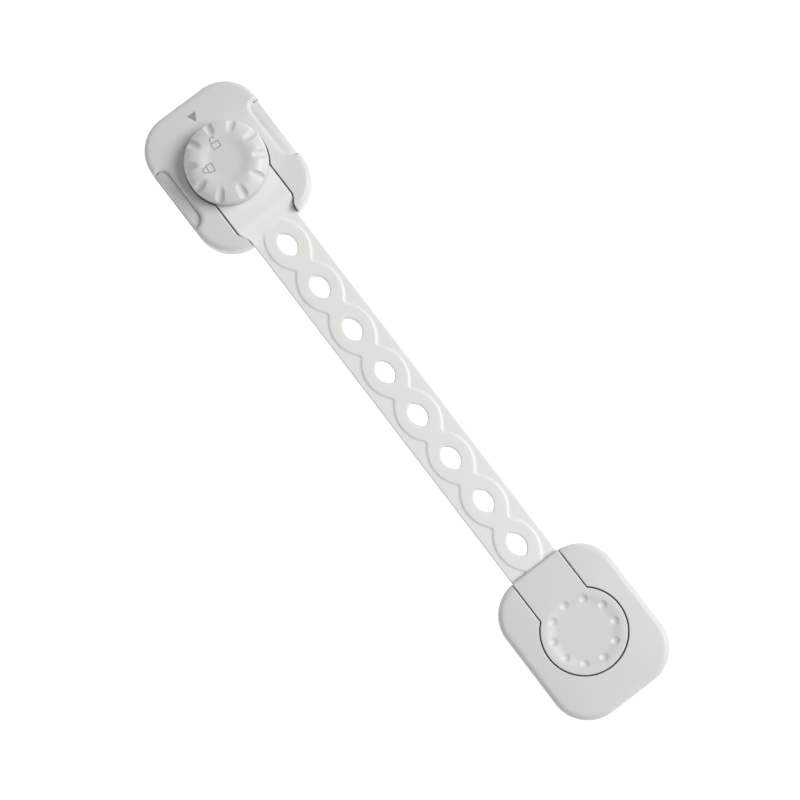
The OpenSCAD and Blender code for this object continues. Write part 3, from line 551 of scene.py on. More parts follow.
def merged_cad(name):
    """The CAD node's shape as one joined-up mesh."""
    bm = bmesh.new()
    bm.from_mesh(frame["nodes"][name].data)
    bmesh.ops.remove_doubles(bm, verts=bm.verts, dist=2e-6)
    return bm


# Repeats, by Geometry Nodes
def repeat_tree(name, ring):
    """Repeats the incoming mesh in a ring round its origin, or in a row along X, and welds the copies."""
    tree = bpy.data.node_groups.new(name, "GeometryNodeTree")
    sockets = {"Geometry": "Geometry", "Count": "Int", "Step": "Float", "Material": "Material"}
    for label, kind in sockets.items():
        tree.interface.new_socket(label, in_out="INPUT", socket_type="NodeSocket" + kind)
    tree.interface.new_socket("Geometry", in_out="OUTPUT", socket_type="NodeSocketGeometry")
    given = node(tree, "NodeGroupInput").outputs
    if ring:
        points = node(tree, "GeometryNodePoints", {}, {"Count": given["Count"]}).outputs[0]
        turn = node(tree, "ShaderNodeMath", {"operation": "MULTIPLY"},
                    {0: node(tree, "GeometryNodeInputIndex").outputs[0], 1: given["Step"]})
        turn = node(tree, "ShaderNodeCombineXYZ", {}, {"Z": turn.outputs[0]})
        copies = node(tree, "GeometryNodeInstanceOnPoints", {},
                      {"Points": points, "Instance": given["Geometry"], "Rotation": turn.outputs[0]})
    else:
        step = node(tree, "ShaderNodeCombineXYZ", {}, {"X": given["Step"]})
        points = node(tree, "GeometryNodeMeshLine", {}, {"Count": given["Count"], "Offset": step.outputs[0]})
        copies = node(tree, "GeometryNodeInstanceOnPoints", {},
                      {"Points": points.outputs[0], "Instance": given["Geometry"]})
    solid = node(tree, "GeometryNodeRealizeInstances", {}, {"Geometry": copies.outputs[0]})
    weld = node(tree, "GeometryNodeMergeByDistance", {"Distance": 2e-6}, {"Geometry": solid.outputs[0]})
    dress = node(tree, "GeometryNodeSetMaterial", {},
                 {"Geometry": weld.outputs[0], "Material": given["Material"]})
    node(tree, "NodeGroupOutput", {}, {0: dress.outputs[0]})
    return tree


def repeated(mesh, tree, count, step, material):
    """The mesh that a repeat tree makes of one sector or link."""
    seed = put(mesh.name + "_seed", mesh)
    mod = seed.modifiers.new("repeat", "NODES")
    mod.node_group = tree
    named = {"Count": count, "Step": step, "Material": material}
    for item in tree.interface.items_tree:
        if item.in_out == "INPUT" and item.name in named:
            mod[item.identifier] = named[item.name]
    apply_modifiers(seed)
    made = seed.data
    bpy.data.objects.remove(seed)
    return made


RING_OF = repeat_tree("ring_of_sectors", True)
ROW_OF = repeat_tree("row_of_links", False)


# Housings
def outline_depth(x, y):
    """Depth inside a unit's outline."""
    qx, qy = np.abs(x) - (HALF_L - CORNER_R), np.abs(y) - (HALF_W - CORNER_R)
    return CORNER_R - np.hypot(np.maximum(qx, 0), np.maximum(qy, 0)) - np.minimum(np.maximum(qx, qy), 0)


def dome(x, y, top):
    """Level of a unit's gently domed top."""
    rise = (np.abs(x) / (HALF_L - EDGE_R)) ** 3.2 + (np.abs(y) / (HALF_W - EDGE_R)) ** 3.2
    return top - CROWN * rise ** (2 / 3.2)


def neck_half(x):
    """Half width of the head's neck, which narrows to the strap."""
    return ramp(x, SHOULDER, NECK_W, STRAP_W) / 2


def outline_side(mouth, notched):
    """Half of a unit's outline, from the mouth of its keyhole round to the middle of its far end."""
    cx, cy = HALF_L - CORNER_R, HALF_W - CORNER_R
    first = math.degrees(math.asin((mouth - cy) / CORNER_R))
    front = arc(cx, cy, CORNER_R, first, 90, 40)
    rear = arc(-cx, cy, CORNER_R, 90, 180, 42) + [(-HALF_L, 0)]
    if not notched:
        return [("outside", front + rear)]
    n = NOTCH
    notch = (
        [(n["front"], HALF_W)]
        + arc(n["front"] - n["r_front"], n["inner"] + n["r_front"], n["r_front"], 0, -90, 12)
        + arc(n["rear"] + n["r_rear"], n["inner"] + n["r_rear"], n["r_rear"], -90, -180, 12)
        + [(n["rear"], HALF_W)]
    )
    return [("outside", front + notch[:1]), ("notch", notch), ("outside", notch[-1:] + rear)]


def mirrored_back(sections):
    """The same half on the other side of the strap, walked the other way."""
    return [(kind, [(x, -y) for x, y in path[::-1]]) for kind, path in sections[::-1]]


def housing_plan(bore, half_widths, notched):
    """Edge of a housing's top, with its keyhole open towards +X."""
    mouth_x = [(x, w) for x, w in half_widths if x < HALF_L - 1]
    mouth = half_widths[-1][1]
    far = HALF_L - CORNER_R + math.sqrt(CORNER_R**2 - (mouth - HALF_W + CORNER_R) ** 2)
    meet = mouth_x[0][1]
    start = (math.sqrt(bore**2 - meet**2), meet)
    side = [start] + mouth_x[1:] + [(far, mouth)]
    bend = math.degrees(math.atan2(start[1], start[0]))
    keyhole = [(x, -y) for x, y in side[::-1]] + arc(0, 0, bore, -bend, bend - 360, 110)[1:-1] + side
    half = outline_side(mouth, notched)
    return trace(half + mirrored_back(half) + [("opening", keyhole)], 1.2)


def plan_edges(plan, kinds):
    """All edges of a plan, those of its openings, and those of each kind of opening."""
    edges = edges_of(plan)
    opening = edges[[k != "outside" for k in kinds]]
    by_kind = {k: edges[[k == other for other in kinds]] for k in ("notch", "opening") if k in kinds}
    return edges, opening, by_kind


def housing_skin(name, plan, kinds, top, under):
    """A housing's rounded top with the walls at its edges, thickened inwards."""
    edges, opening, by_kind = plan_edges(plan, kinds)
    both = [{kinds[i - 1], kinds[i]} for i in range(len(kinds))]
    radii = np.array([max(EDGE_ROUND[k] for k in b) for b in both])

    def level(x, y):
        fall = round_off(outline_depth(x, y), EDGE_R)
        for kind, its_edges in by_kind.items():
            away = distance_to(np.stack([x, y], 1), its_edges)
            fall = np.maximum(fall, round_off(away, EDGE_ROUND[kind]))
        return dome(x, y, top) - fall

    # A fine grid lies along the keyhole, a coarse one over the rest, and rows follow the rounded edges
    spots = np.concatenate([edge_spots([plan], [radii], edges, 7), grid_spots(edges, 1.1, 2.1)])
    fine = grid_spots(edges, 0.55, 0.5)
    depth = outline_depth(fine[:, 0], fine[:, 1])
    away = distance_to(fine, opening)
    rounded = distance_to(fine, by_kind["notch"]) < 1.0 if "notch" in by_kind else away < 0
    spots = np.concatenate([spots, fine[(depth > 2.0) & (away < 2.2) & ~rounded]])
    points, faces = skin([plan], spots, level)
    top_z = [points[i][2] for i in range(len(plan))]
    low = set_in(plan, [PARTING if b == {"outside"} else 0 for b in both])
    columns = {}

    def column(i, kind):
        """Numbers of the points under a plan point, on the wall of an outside or an inner edge."""
        kind = "outside" if kind == "outside" else "inner"
        if (i, kind) not in columns:
            x, y = plan[i]
            if kind == "outside":
                wall = [(x, y, Z_INNER + PARTING), (low[i][0], low[i][1], Z_INNER)]
            else:
                wall = [(x, y, min(under, top_z[i] - SKIN_LIP))]
            columns[i, kind] = list(range(len(points), len(points) + len(wall)))
            points.extend(wall)
        return columns[i, kind]

    for i, kind in enumerate(kinds):
        j = (i + 1) % len(kinds)
        a, b = column(i, kind), column(j, kind)
        # Where an outside wall meets a notch, it takes in the end of the notch's shorter wall
        shorter = [kind == "outside" and both[at] != {"outside"} for at in (i, j)]
        ends = [[column(at, "inner")[0]] if short else [] for at, short in zip((i, j), shorter)]
        faces.append(tuple([j, i] + ends[0] + [a[0], b[0]] + ends[1]))
        for k in range(len(a) - 1):
            faces.append((b[k], a[k], a[k + 1], b[k + 1]))
    obj = put(name, mesh_of(name, [(points, faces)]))
    thick = obj.modifiers.new("wall", "SOLIDIFY")
    thick.thickness, thick.offset = SKIN_WALL * MM, -1
    apply_modifiers(obj)
    return obj


def housing_walls(name, cad_node, shift, plan, kinds, under, flip):
    """The CAD housing's own walls, bosses and pocket, drawn back a little to stay behind the skin."""
    edges, opening, by_kind = plan_edges(plan, kinds)
    # How near counts as on an edge or a level
    near_by = 0.05
    bm = merged_cad(cad_node)
    for v in bm.verts:
        x, y, z = v.co.x / MM - shift, v.co.y / MM, v.co.z / MM
        x = -x if flip else x
        here = np.array([(x, y)])
        deep = float(outline_depth(here[:, 0], here[:, 1])[0])
        if deep < 2 * BACK["outside"]:
            step = 0.01
            gx = float(outline_depth(np.array([x + step]), np.array([y]))[0]) - deep
            gy = float(outline_depth(np.array([x]), np.array([y + step]))[0]) - deep
            x, y = x + BACK["outside"] * gx / step, y + BACK["outside"] * gy / step
        near, within = float(distance_to(here, opening)[0]), inside(here, edges)[0]
        at_edge = near < (near_by if within else 0.5)
        above = z > under + near_by and (at_edge or within)
        on_notch = "notch" in by_kind and float(distance_to(here, by_kind["notch"])[0]) < near_by
        if above:
            # The CAD roof is pressed down under the skin to a fifth of its height
            z = under + near_by + 0.2 * (z - under - near_by)
        if at_edge and (above or on_notch):
            reach = near + BACK["notch" if on_notch else "opening"] if above else BACK["notch wall"]
            tries = [(x + reach * math.cos(t), y + reach * math.sin(t)) for t in np.arange(0, 6.28, 0.26)]
            far = distance_to(tries, opening) * np.where(inside(tries, edges), 1, 0)
            x, y = tries[int(far.argmax())]
        x = -x if flip else x
        v.co = Vector(((x + shift) * MM, y * MM, z * MM))
    bmesh.ops.dissolve_limit(bm, angle_limit=math.radians(0.5), verts=bm.verts, edges=bm.edges)
    return as_mesh(bm, name + "_walls")


def housing(name, cad_node, body, shift, plan, kinds, top, under, flip=False):
    """A finely rounded skin over the CAD housing's own walls. A flipped housing opens towards -X."""
    obj = housing_skin(name, plan, kinds, top, under)
    bm = bmesh.new()
    bm.from_mesh(obj.data)
    for v in bm.verts:
        v.co.x = (-v.co.x if flip else v.co.x) + shift * MM
    if flip:
        bmesh.ops.reverse_faces(bm, faces=bm.faces)
    bm.to_mesh(obj.data)
    bm.free()
    join_into(obj, housing_walls(name, cad_node, shift, plan, kinds, under, flip))
    finish_piece(obj, body, [cad_node], BODY, 28)


def make_housings():
    """Both units' top shells. The lock's keyhole follows the neck, and the anchor's the cap's tab."""
    xs = [0] + list(np.linspace(SHOULDER[0], SHOULDER[1], 10)) + [HALF_L]
    neck = [(x, float(neck_half(x)) + SHOWN_SEAM) for x in xs]
    plan, kinds = housing_plan(KNOB_R + KNOB_SEAM, neck, True)
    housing("lock_housing_moulding", "lock_housing", "lock_base", LOCK_X, plan, kinds, LOCK_TOP, LOCK_SKIN)
    tab = [(0, TAB_W / 2 + TAB_SEAM), (HALF_L, TAB_W / 2 + TAB_SEAM)]
    plan, kinds = housing_plan(DISC_R + SHOWN_SEAM, tab, False)
    housing("anchor_housing_moulding", "anchor_housing", "strap", ANCHOR_X, plan, kinds,
            ANCHOR_TOP, ANCHOR_SKIN, flip=True)


# Knob
def knob_level(x, y):
    """Level of the knob's top: dished middle, crest, and a fluted rim that falls to the side."""
    r, along, across = fold(x, y, FLUTES, FLUTE_TURN)
    crest = KNOB_R - RIM_W
    dish = KNOB_TOP - DISH_D * (1 - ease((r - DISH_R) / (crest - DISH_R)))
    rim = KNOB_TOP - RIM_H + RIM_H * np.sqrt(np.maximum(1 - (np.maximum(r - crest, 0) / RIM_W) ** 2, 0))
    whole = np.where(r < crest, dish, rim)
    # A flute is a round groove that runs down the rim's slope, through the middle of its curve
    fall = math.atan(RIM_H / RIM_W)
    short = 1 - math.sin(math.radians(45))
    r0, z0 = KNOB_R - RIM_W * short, KNOB_TOP - RIM_H * short
    hollow = FLUTE_R - FLUTE_D - np.sqrt(np.maximum(FLUTE_R**2 - across**2, 0))
    cut = z0 + (hollow - (along - r0) * math.sin(fall)) / math.cos(fall)
    return lower_of(whole, np.where(np.abs(across) < FLUTE_R, cut, NO_CUT), 0.3)


def sector(rows, angles):
    """A wedge of a turned form: rows are functions that give the points at all the angles."""
    points, faces = [], []
    n = len(angles)
    for row in rows:
        points += row(angles)
    for i in range(len(rows) - 1):
        for k in range(n - 1):
            a, b = i * n + k, (i + 1) * n + k
            faces.append((a, b, b + 1, a + 1))
    return points, faces


def turned(r, level):
    """A row of a wedge at a radius, with its level from a number or from level(x, y)."""
    def row(angles):
        x, y = r * np.cos(angles), r * np.sin(angles)
        z = level(x, y) if callable(level) else np.full(len(angles), level)
        return [(a, b, c) for a, b, c in zip(x, y, z)]
    return row


def make_knob():
    """One fluted sector, repeated round the knob, with the stem and the stop pin let into it."""
    crest = KNOB_R - RIM_W
    radii = [0, 1.5, 3] + list(np.linspace(DISH_R, crest, 11))
    radii += [crest + RIM_W * math.sin(math.radians(a)) for a in np.linspace(5, 90, 18)]
    rows = [turned(r, knob_level) for r in radii]
    for a in (0, 22, 45, 67, 90):
        lean = math.radians(a)
        rows.append(turned(KNOB_R - FOOT_R * (1 - math.cos(lean)), LOCK_TOP + FOOT_R * (1 - math.sin(lean))))
    bore, roof = KNOB_R - KNOB_WALL, KNOB_TOP - DISH_D - KNOB_WALL
    hollow = ((bore, LOCK_TOP), (bore, roof), (BOSS_R, roof), (BOSS_R, Z_BOSS), (0, Z_BOSS))
    rows += [turned(r, z) for r, z in hollow]
    half = math.radians(180 / FLUTES)
    angles = np.linspace(-half, half, 25) + math.radians(FLUTE_TURN)
    wedge = mesh_of("knob_flute_sector", [sector(rows, angles)])
    whole = repeated(wedge, RING_OF, FLUTES, 2 * half, KNOB)
    # Stem with the flats of its drive end and its screw's hole, and the pin of the turn stop
    shank = arc(0, 0, STEM_R, 0, 360, 48)[:-1]
    drive = [(max(-DRIVE_FLAT, min(DRIVE_FLAT, x)), y) for x, y in arc(0, 0, DRIVE_R, 0, 360, 64)[:-1]]
    pilot = arc(0, 0, PILOT_R, 360, 0, 24)[:-1]
    turn = math.radians(PIN_TURN)
    pin = arc(PIN_RING * math.cos(turn), PIN_RING * math.sin(turn), PIN_R, 0, 360, 20)[:-1]
    parts = [
        skin([drive, pilot], [], flat(Z_DRIVE), up=False),
        strip(at_level(drive, Z_STEM), at_level(drive, Z_DRIVE)),
        skin([shank, drive[::-1]], [], flat(Z_STEM), up=False),
        strip(at_level(shank, Z_STEM_TOP), at_level(shank, Z_STEM)),
        skin([shank], [], flat(Z_STEM_TOP)),
        strip(at_level(pilot, Z_PILOT), at_level(pilot, Z_DRIVE)),
        skin([pilot[::-1]], [], flat(Z_PILOT), up=False),
        skin([pin], [], flat(PIN_Z[1])),
        strip(at_level(pin, PIN_Z[1]), at_level(pin, PIN_Z[0])),
        skin([pin], [], flat(PIN_Z[0]), up=False),
    ]
    obj = put("knob_moulding", whole)
    join_into(obj, mesh_of("knob_stem", parts))
    slide(obj.data, LOCK_X)
    finish_piece(obj, "knob", ["knob"], KNOB, 32)


# Anchor cap
def cap_ring_level(x, y):
    """Level of the cap's dished disc with its dimples."""
    def dish(r):
        return Z_DISC - CAP_DISH_D * (1 - ease((r - CAP_FLAT_R) / (CAP_DISH_R - CAP_FLAT_R)))

    r, along, across = fold(x, y, DIMPLES)
    away = np.hypot(along - DIMPLE_RING, across)
    ball = (DIMPLE_R**2 + DIMPLE_D**2) / (2 * DIMPLE_D)
    cut = dish(DIMPLE_RING) - DIMPLE_D + ball - np.sqrt(np.maximum(ball**2 - away**2, 0))
    return lower_of(dish(r), np.where(away < 1.6 * DIMPLE_R, cut, NO_CUT), 0.12)


def make_cap():
    """One dimpled sector, repeated round the disc, inside a rim that runs out into the tab."""
    half = math.radians(180 / DIMPLES)
    angles = np.linspace(-half, half, 25)
    radii = [0, 3, 5.5, 7.2] + list(np.arange(8.0, 11.65, 0.2)) + [11.9, 12.3, CAP_DISH_R]
    wedge = mesh_of("cap_dimple_sector", [sector([turned(r, cap_ring_level) for r in radii], angles)])
    disc = repeated(wedge, RING_OF, DIMPLES, 2 * half, BODY)
    slide(disc, ANCHOR_X)

    w = TAB_W / 2
    cy = HALF_W - CORNER_R
    bend = math.degrees(math.asin(w / DISC_R))
    tip = math.degrees(math.asin((w - cy) / CORNER_R))
    end = arc(-HALF_L + CORNER_R, cy, CORNER_R, 180 - tip, 180, 3)
    end += [(x, -y) for x, y in end[::-1]]
    start = (-DISC_R * math.cos(math.radians(bend)), w)
    plan, kinds = trace(
        [
            ("side", [start, end[0]]),
            ("end", end),
            ("side", [end[-1], (start[0], -w)]),
            ("side", arc(0, 0, DISC_R, 180 + bend, 540 - bend, 130)),
        ],
        0.8,
    )
    # The rim starts where the disc's sectors do, so that their points meet
    seam = 180 - 180 / DIMPLES
    rim = arc(0, 0, CAP_DISH_R, seam, seam - 360, 24 * DIMPLES)[:-1]
    edges = edges_of(plan, rim)
    outer = edges_of(plan)
    tip_edge = outer[[k == "end" for k in kinds]]

    def level(x, y):
        here = np.stack([x, y], 1)
        z = Z_DISC + (dome(x, y, ANCHOR_TOP) - Z_DISC) * ease((np.hypot(x, y) - CAP_DISH_R) / 3)
        sides = round_off(distance_to(here, outer), CAP_EDGE_R)
        return z - np.maximum(sides, round_off(distance_to(here, tip_edge), TAB_EDGE_R))

    both = [{kinds[i - 1], kinds[i]} for i in range(len(kinds))]
    radii = [TAB_EDGE_R if "end" in b else CAP_EDGE_R for b in both]
    spots = np.concatenate([edge_spots([plan], [radii], edges, 5), grid_spots(edges, 0.7, 0.45)])
    top = skin([plan, rim], spots, level)
    rows = [top[0][i][2] for i in range(len(plan))]
    wall = strip(at_level(plan, rows), at_level(plan, Z_CAP_BASE))
    base = skin([plan], [], flat(Z_CAP_BASE), up=False)
    obj = put("anchor_cap_moulding", mesh_of("anchor_cap_top", [top, wall, base], ANCHOR_X))
    join_into(obj, disc)
    mend(obj.data, 4e-6, outwards=True)
    join_into(obj, cap_underside(outer))
    finish_piece(obj, "anchor_cap", ["anchor_cap"], BODY, 30)


def cap_underside(outer):
    """The skirt, the post's socket and the underside of the CAD cap, with its top lowered under the new one
    and its walls drawn in a little behind the new ones."""
    tab_from, rim, walls_from, at_wall = -11, 0.3, 7.0, 0.05
    # Where the tab moves along the strap and narrows, the round part shrinks towards its middle
    top_move, top_narrow, top_shrink, top_press = 0.25, 0.985, 0.15, 0.15
    wall_move, wall_narrow, wall_shrink = 0.04, 0.995, 0.997
    bm = merged_cad("anchor_cap")
    for v in bm.verts:
        x, y, z = v.co.x / MM - ANCHOR_X, v.co.y / MM, v.co.z / MM
        away, on_tab = float(distance_to([(x, y)], outer)[0]), x < tab_from
        if z > Z_CAP_KEPT:
            if away < rim or not inside([(x, y)], outer)[0]:
                share = 1 - top_shrink / math.hypot(x, y)
                x, y = (x + top_move, y * top_narrow) if on_tab else (x * share, y * share)
            z = Z_CAP_SUNK + (z - Z_CAP_KEPT) * top_press
        elif z > walls_from and away < at_wall:
            x, y = (x + wall_move, y * wall_narrow) if on_tab else (x * wall_shrink, y * wall_shrink)
        v.co = Vector(((x + ANCHOR_X) * MM, y * MM, z * MM))
    return as_mesh(bm, "cap_lower")


# Strap
def chain_half(x):
    """Half width of the raised chain at a distance from the nearest hole's middle."""
    mid, lift = PITCH / 2, LINK_ARC_R - LINK_W / 2
    fillet = (mid**2 + (WAIST_W / 2 + lift) ** 2 - LINK_ARC_R**2) / (2 * (LINK_ARC_R - WAIST_W / 2 - lift))
    x = np.abs(x)
    turn_x = mid * (1 - fillet / (LINK_ARC_R + fillet))
    link = np.sqrt(np.maximum(LINK_ARC_R**2 - x**2, 0)) - lift
    waist = WAIST_W / 2 + fillet - np.sqrt(np.maximum(fillet**2 - np.minimum(mid - x, fillet) ** 2, 0))
    return np.where(x <= turn_x, link, waist)


def lens(cx):
    """A strap hole's edge, walked so that the material lies on its left."""
    r = (HOLE_L**2 + HOLE_W**2) / (4 * HOLE_W)
    lean = math.degrees(math.asin(HOLE_L / 2 / r))
    upper = arc(cx, HOLE_W / 2 - r, r, 90 + lean, 90 - lean, 18)
    return upper[:-1] + [(x, -y) for x, y in upper[::-1]][:-1]


def head_top(x):
    return ramp(x, SLOPE, Z_HEAD, Z_STRAP_TOP)


def head_under(x):
    return ramp(x, UNDER, Z_CORE, Z_STRAP)


def cross_rows():
    """Distances across the strap of the rows that every stretch of it shares at its joints."""
    rounds = [STRAP_W / 2 - SIDE_ROUND * (1 - math.cos(math.radians(a))) for a in (0, 22.5, 45, 67.5, 90)]
    half = rounds + [7.6, 6.9, 6.2, 5.5, 4.8, 4.2, 3.75, 3.5, 3.375, 3.25, 3.125, 3.0, 2.75, 2.2, 1.5, 0.8]
    return half + [0.0] + [-y for y in half[::-1]]


def chain_rise(x, y):
    """Height of the chain over the strap, with x from the nearest hole's middle."""
    return RELIEF * ease((chain_half(x) - np.abs(y)) / RELIEF_RUN + 0.5)


def walled(open_edge):
    """False for each edge of a plan that lies in a joint, between two of its open points."""
    return [not (a and b) for a, b in zip(open_edge, open_edge[1:] + open_edge[:1])]


def stretch(x0, x1, middles, fade, tail=False):
    """Closed walls and skins of a stretch of strap between two joints, or up to its round tail."""
    rows = cross_rows()
    if tail:
        r = STRAP_W / 4
        end = arc(x1 - r, -STRAP_W / 2 + r, r, -90, 0, 10) + arc(x1 - r, STRAP_W / 2 - r, r, 0, 90, 10)
    else:
        end = [(x1, y) for y in rows[::-1]]
    lower = walk([(x0, -STRAP_W / 2), (end[0][0], -STRAP_W / 2)], 0.5)
    upper = walk([(end[-1][0], STRAP_W / 2), (x0, STRAP_W / 2)], 0.5)
    plan = lower[:-1] + walk(end, 0.6 if tail else 9) + upper[1:-1] + [(x0, y) for y in rows[:-1]]
    open_edge = [abs(p[0] - x0) < 1e-6 or (not tail and abs(p[0] - x1) < 1e-6) for p in plan]
    holes = [lens(m) for m in middles]
    edges, hole_edges = edges_of(plan, *holes), edges_of(*holes)
    sides = edges_of(plan)[walled(open_edge)]

    def from_hole(x):
        return np.min([np.abs(x - m) for m in middles], axis=0)

    def top(x, y):
        here = np.stack([x, y], 1)
        z = Z_STRAP_TOP + chain_rise(from_hole(x), y) * fade(x)
        z -= round_off(distance_to(here, sides), SIDE_ROUND)
        return z - round_off(distance_to(here, hole_edges), HOLE_ROUND)

    def under(x, y):
        here = np.stack([x, y], 1)
        z = Z_STRAP + round_off(distance_to(here, sides), CRISP_ROUND)
        return z + round_off(distance_to(here, hole_edges), CRISP_ROUND)

    # Rows of points follow the chain's slope, and the rounding of the sides and the holes
    along = np.array([p[0] for p in lower[1:-1]])
    if tail:
        along = np.concatenate([along, np.arange(x1 - r, x1 - 0.2, 0.5)])
    chain = []
    for off in [RELIEF_RUN * share for share in (-0.55, -0.35, -0.12, 0.12, 0.35, 0.55)]:
        half = chain_half(from_hole(along)) + off
        chain += list(zip(along, half)) + list(zip(along, -half))
    rounds = [STRAP_W / 2 - y for y in rows[1:5]]
    edge_rows = [(x, s * (STRAP_W / 2 - d)) for x in along for d in rounds for s in (-1, 1)]
    if tail:
        edge_rows = [p for p in edge_rows if p[0] < x1 - r - 0.2]
        depths = [0 if o else 1 for o in open_edge]
        for d in rounds:
            row = set_in(plan, [d * k for k in depths])
            edge_rows += [tuple(p) for p, k in zip(row, depths) if k and p[0] > x1 - r - 0.01]
    hole_rows = edge_spots(holes, [HOLE_ROUND] * len(holes), edges, 4)
    spots = np.array([p for p in chain if abs(p[1]) < STRAP_W / 2 - 0.6])
    spots = spots[inside(spots, edges)]
    spots = spots[(distance_to(spots, hole_edges) > 0.5) & (distance_to(spots, sides) > 0.5)]
    grid = grid_spots(edges, 0.75, 0.55)
    grid = grid[np.abs(np.abs(grid[:, 1]) - chain_half(from_hole(grid[:, 0]))) > 0.75]
    top_skin = skin([plan] + holes, np.concatenate([spots, grid, hole_rows, np.array(edge_rows)]), top)
    low_rows = edge_spots(holes, [CRISP_ROUND] * len(holes), edges, 3)
    under_skin = skin([plan] + holes, np.concatenate([grid, low_rows, np.array(edge_rows)]), under, up=False)
    parts = [top_skin, under_skin]
    start = 0
    for loop in [plan] + holes:
        after = start + len(loop)
        points, faces = strip(top_skin[0][start:after], under_skin[0][start:after])
        if loop is plan:
            faces = [f for f, wall in zip(faces, walled(open_edge)) if wall]
        parts.append((points, faces))
        start = after
    return parts


def make_head():
    """The head ring with its neck, down to the joint with the first link."""
    joint = FIRST_HOLE - PITCH / 2

    def edge_radius(x):
        """The ring has a crisp edge, which softens along the neck into the strap's."""
        return ramp(x, (SHOULDER[0], joint), CRISP_ROUND, SIDE_ROUND)

    rows = [y * float(neck_half(joint)) / (STRAP_W / 2) for y in cross_rows()]
    xs = [SHOULDER[0] + (joint - SHOULDER[0]) * i / 10 for i in range(11)]
    side = [(x, float(neck_half(x))) for x in xs]
    start = (math.sqrt(RING_R**2 - (NECK_W / 2) ** 2), NECK_W / 2)
    bend = math.degrees(math.atan2(start[1], start[0]))
    ring = arc(0, 0, RING_R, bend, 360 - bend, 130)
    lower = [(x, -y) for x, y in [start] + side]
    plan = walk(ring[:-1] + lower, 0.8)[:-1] + [(joint, y) for y in rows[::-1]]
    plan += walk(([start] + side)[::-1], 0.8)[1:-1]
    open_edge = [abs(p[0] - joint) < 1e-6 for p in plan]
    collar = arc(0, 0, COLLAR_R, 360, 0, 72)[:-1]
    bed = arc(0, 0, BED_R, 360, 0, 130)[:-1]
    sides = edges_of(plan)[walled(open_edge)]

    def rounding(x, y, r):
        return round_off(distance_to(np.stack([x, y], 1), sides), r)

    def top_level(x, y):
        return head_top(x) - rounding(x, y, edge_radius(x))

    def under_level(x, y):
        """Sharp under the ring, and rounded like the strap's underside at the joint."""
        return head_under(x) + rounding(x, y, ramp(x, (SHOULDER[0], joint), 0, CRISP_ROUND) + 1e-6)

    edges = edges_of(plan, collar)
    depths = [0.0 if o else 1.0 for o in open_edge]
    spots = []
    for a in (22.5, 45, 67.5, 90):
        share = 1 - math.cos(math.radians(a))
        row = set_in(plan, [share * float(edge_radius(p[0])) * d for p, d in zip(plan, depths)])
        spots += [tuple(p) for p, d in zip(row, depths) if d]
    spots = np.array(spots)
    grid = grid_spots(edges, 0.7, 0.5)
    top = skin([plan, collar], np.concatenate([spots, grid]), top_level)
    low_edges = edges_of(plan, bed)
    low_grid = grid_spots(low_edges, 0.8, 0.5)
    below = skin([plan, bed], low_grid, under_level, up=False)
    n = len(plan)
    points, faces = strip(top[0][:n], below[0][:n])
    faces = [f for f, wall in zip(faces, walled(open_edge)) if wall]
    return [
        top,
        below,
        (points, faces),
        strip(at_level(bed, Z_RING), at_level(bed, Z_CORE)),
        skin([bed[::-1], collar], [], flat(Z_RING), up=False),
        strip(top[0][n : n + len(collar)], at_level(collar, Z_RING)),
    ]


def make_strap():
    """One link of the chain with its hole, repeated along the strap, between the head and the tail."""
    half = PITCH / 2
    link = mesh_of("strap_link", stretch(-half, half, [0.0], lambda x: 1.0))
    row = repeated(link, ROW_OF, HOLES - 1, PITCH * MM, STRAP)
    slide(row, FIRST_HOLE)
    joint = FIRST_HOLE - half
    # The first link grows out of the neck, which is still a little wider and higher there
    for v in row.vertices:
        x, y, z = v.co.x / MM, v.co.y / MM, v.co.z / MM
        if x < joint + 2:
            if z > (Z_STRAP + Z_STRAP_TOP) / 2:
                rise = float(chain_rise(np.array([FIRST_HOLE - x]), np.array([y]))[0])
                z += float(head_top(x)) - Z_STRAP_TOP - rise * (1 - float(ease((x - joint) / 2)))
            y *= float(neck_half(x)) / (STRAP_W / 2)
            v.co = Vector((x * MM, y * MM, z * MM))
    last = FIRST_HOLE + PITCH * (HOLES - 1)
    end = last + TAIL
    obj = put("strap_moulding", row)
    # The chain fades out over 1.5 mm, 1 mm before the tail's end
    fade = stretch(last - half, end, [last], lambda x: 1 - ease((x - end + 2.5) / 1.5), tail=True)
    join_into(obj, mesh_of("strap_tail", fade))
    join_into(obj, mesh_of("strap_head", make_head()))
    mend(obj.data, 4e-6)
    slide(obj.data, LOCK_X)
    finish_piece(obj, "strap", ["strap"], STRAP, 40)


# Buttons, pads, springs
def make_buttons():
    """The CAD sliders with the small moulded radii of their edges, and faces a little behind the housing."""
    for name, facing in (("button_left", 1), ("button_right", -1)):
        bm = merged_cad(name)
        for v in bm.verts:
            side = math.copysign(1, v.co.y)
            forward = abs(v.co.y) / MM - BUTTON_BACK
            if v.co.z > BUTTON_LOW * MM and forward > 0 and side == facing:
                face = BUTTON_TOP - BUTTON_SLOPE * forward
                v.co.z = (min(v.co.z / MM, face) + BUTTON_LIFT * forward) * MM
            if abs(v.co.y) > (HALF_W - BUTTON_ROUND - 0.05) * MM:
                v.co.y -= side * BUTTON_INSET * MM
        bmesh.ops.remove_doubles(bm, verts=bm.verts, dist=2e-6)
        bmesh.ops.dissolve_limit(bm, angle_limit=math.radians(0.5), verts=bm.verts, edges=bm.edges)
        obj = put(name + "_moulding", as_mesh(bm, name + "_moulding"))
        bevel = obj.modifiers.new("moulded_edges", "BEVEL")
        bevel.width, bevel.segments, bevel.limit_method = BUTTON_EDGE_R * MM, 2, "ANGLE"
        bevel.angle_limit = math.radians(40)
        bevel.use_clamp_overlap = True
        apply_modifiers(obj)
        finish_piece(obj, name, [name], BODY, 30)


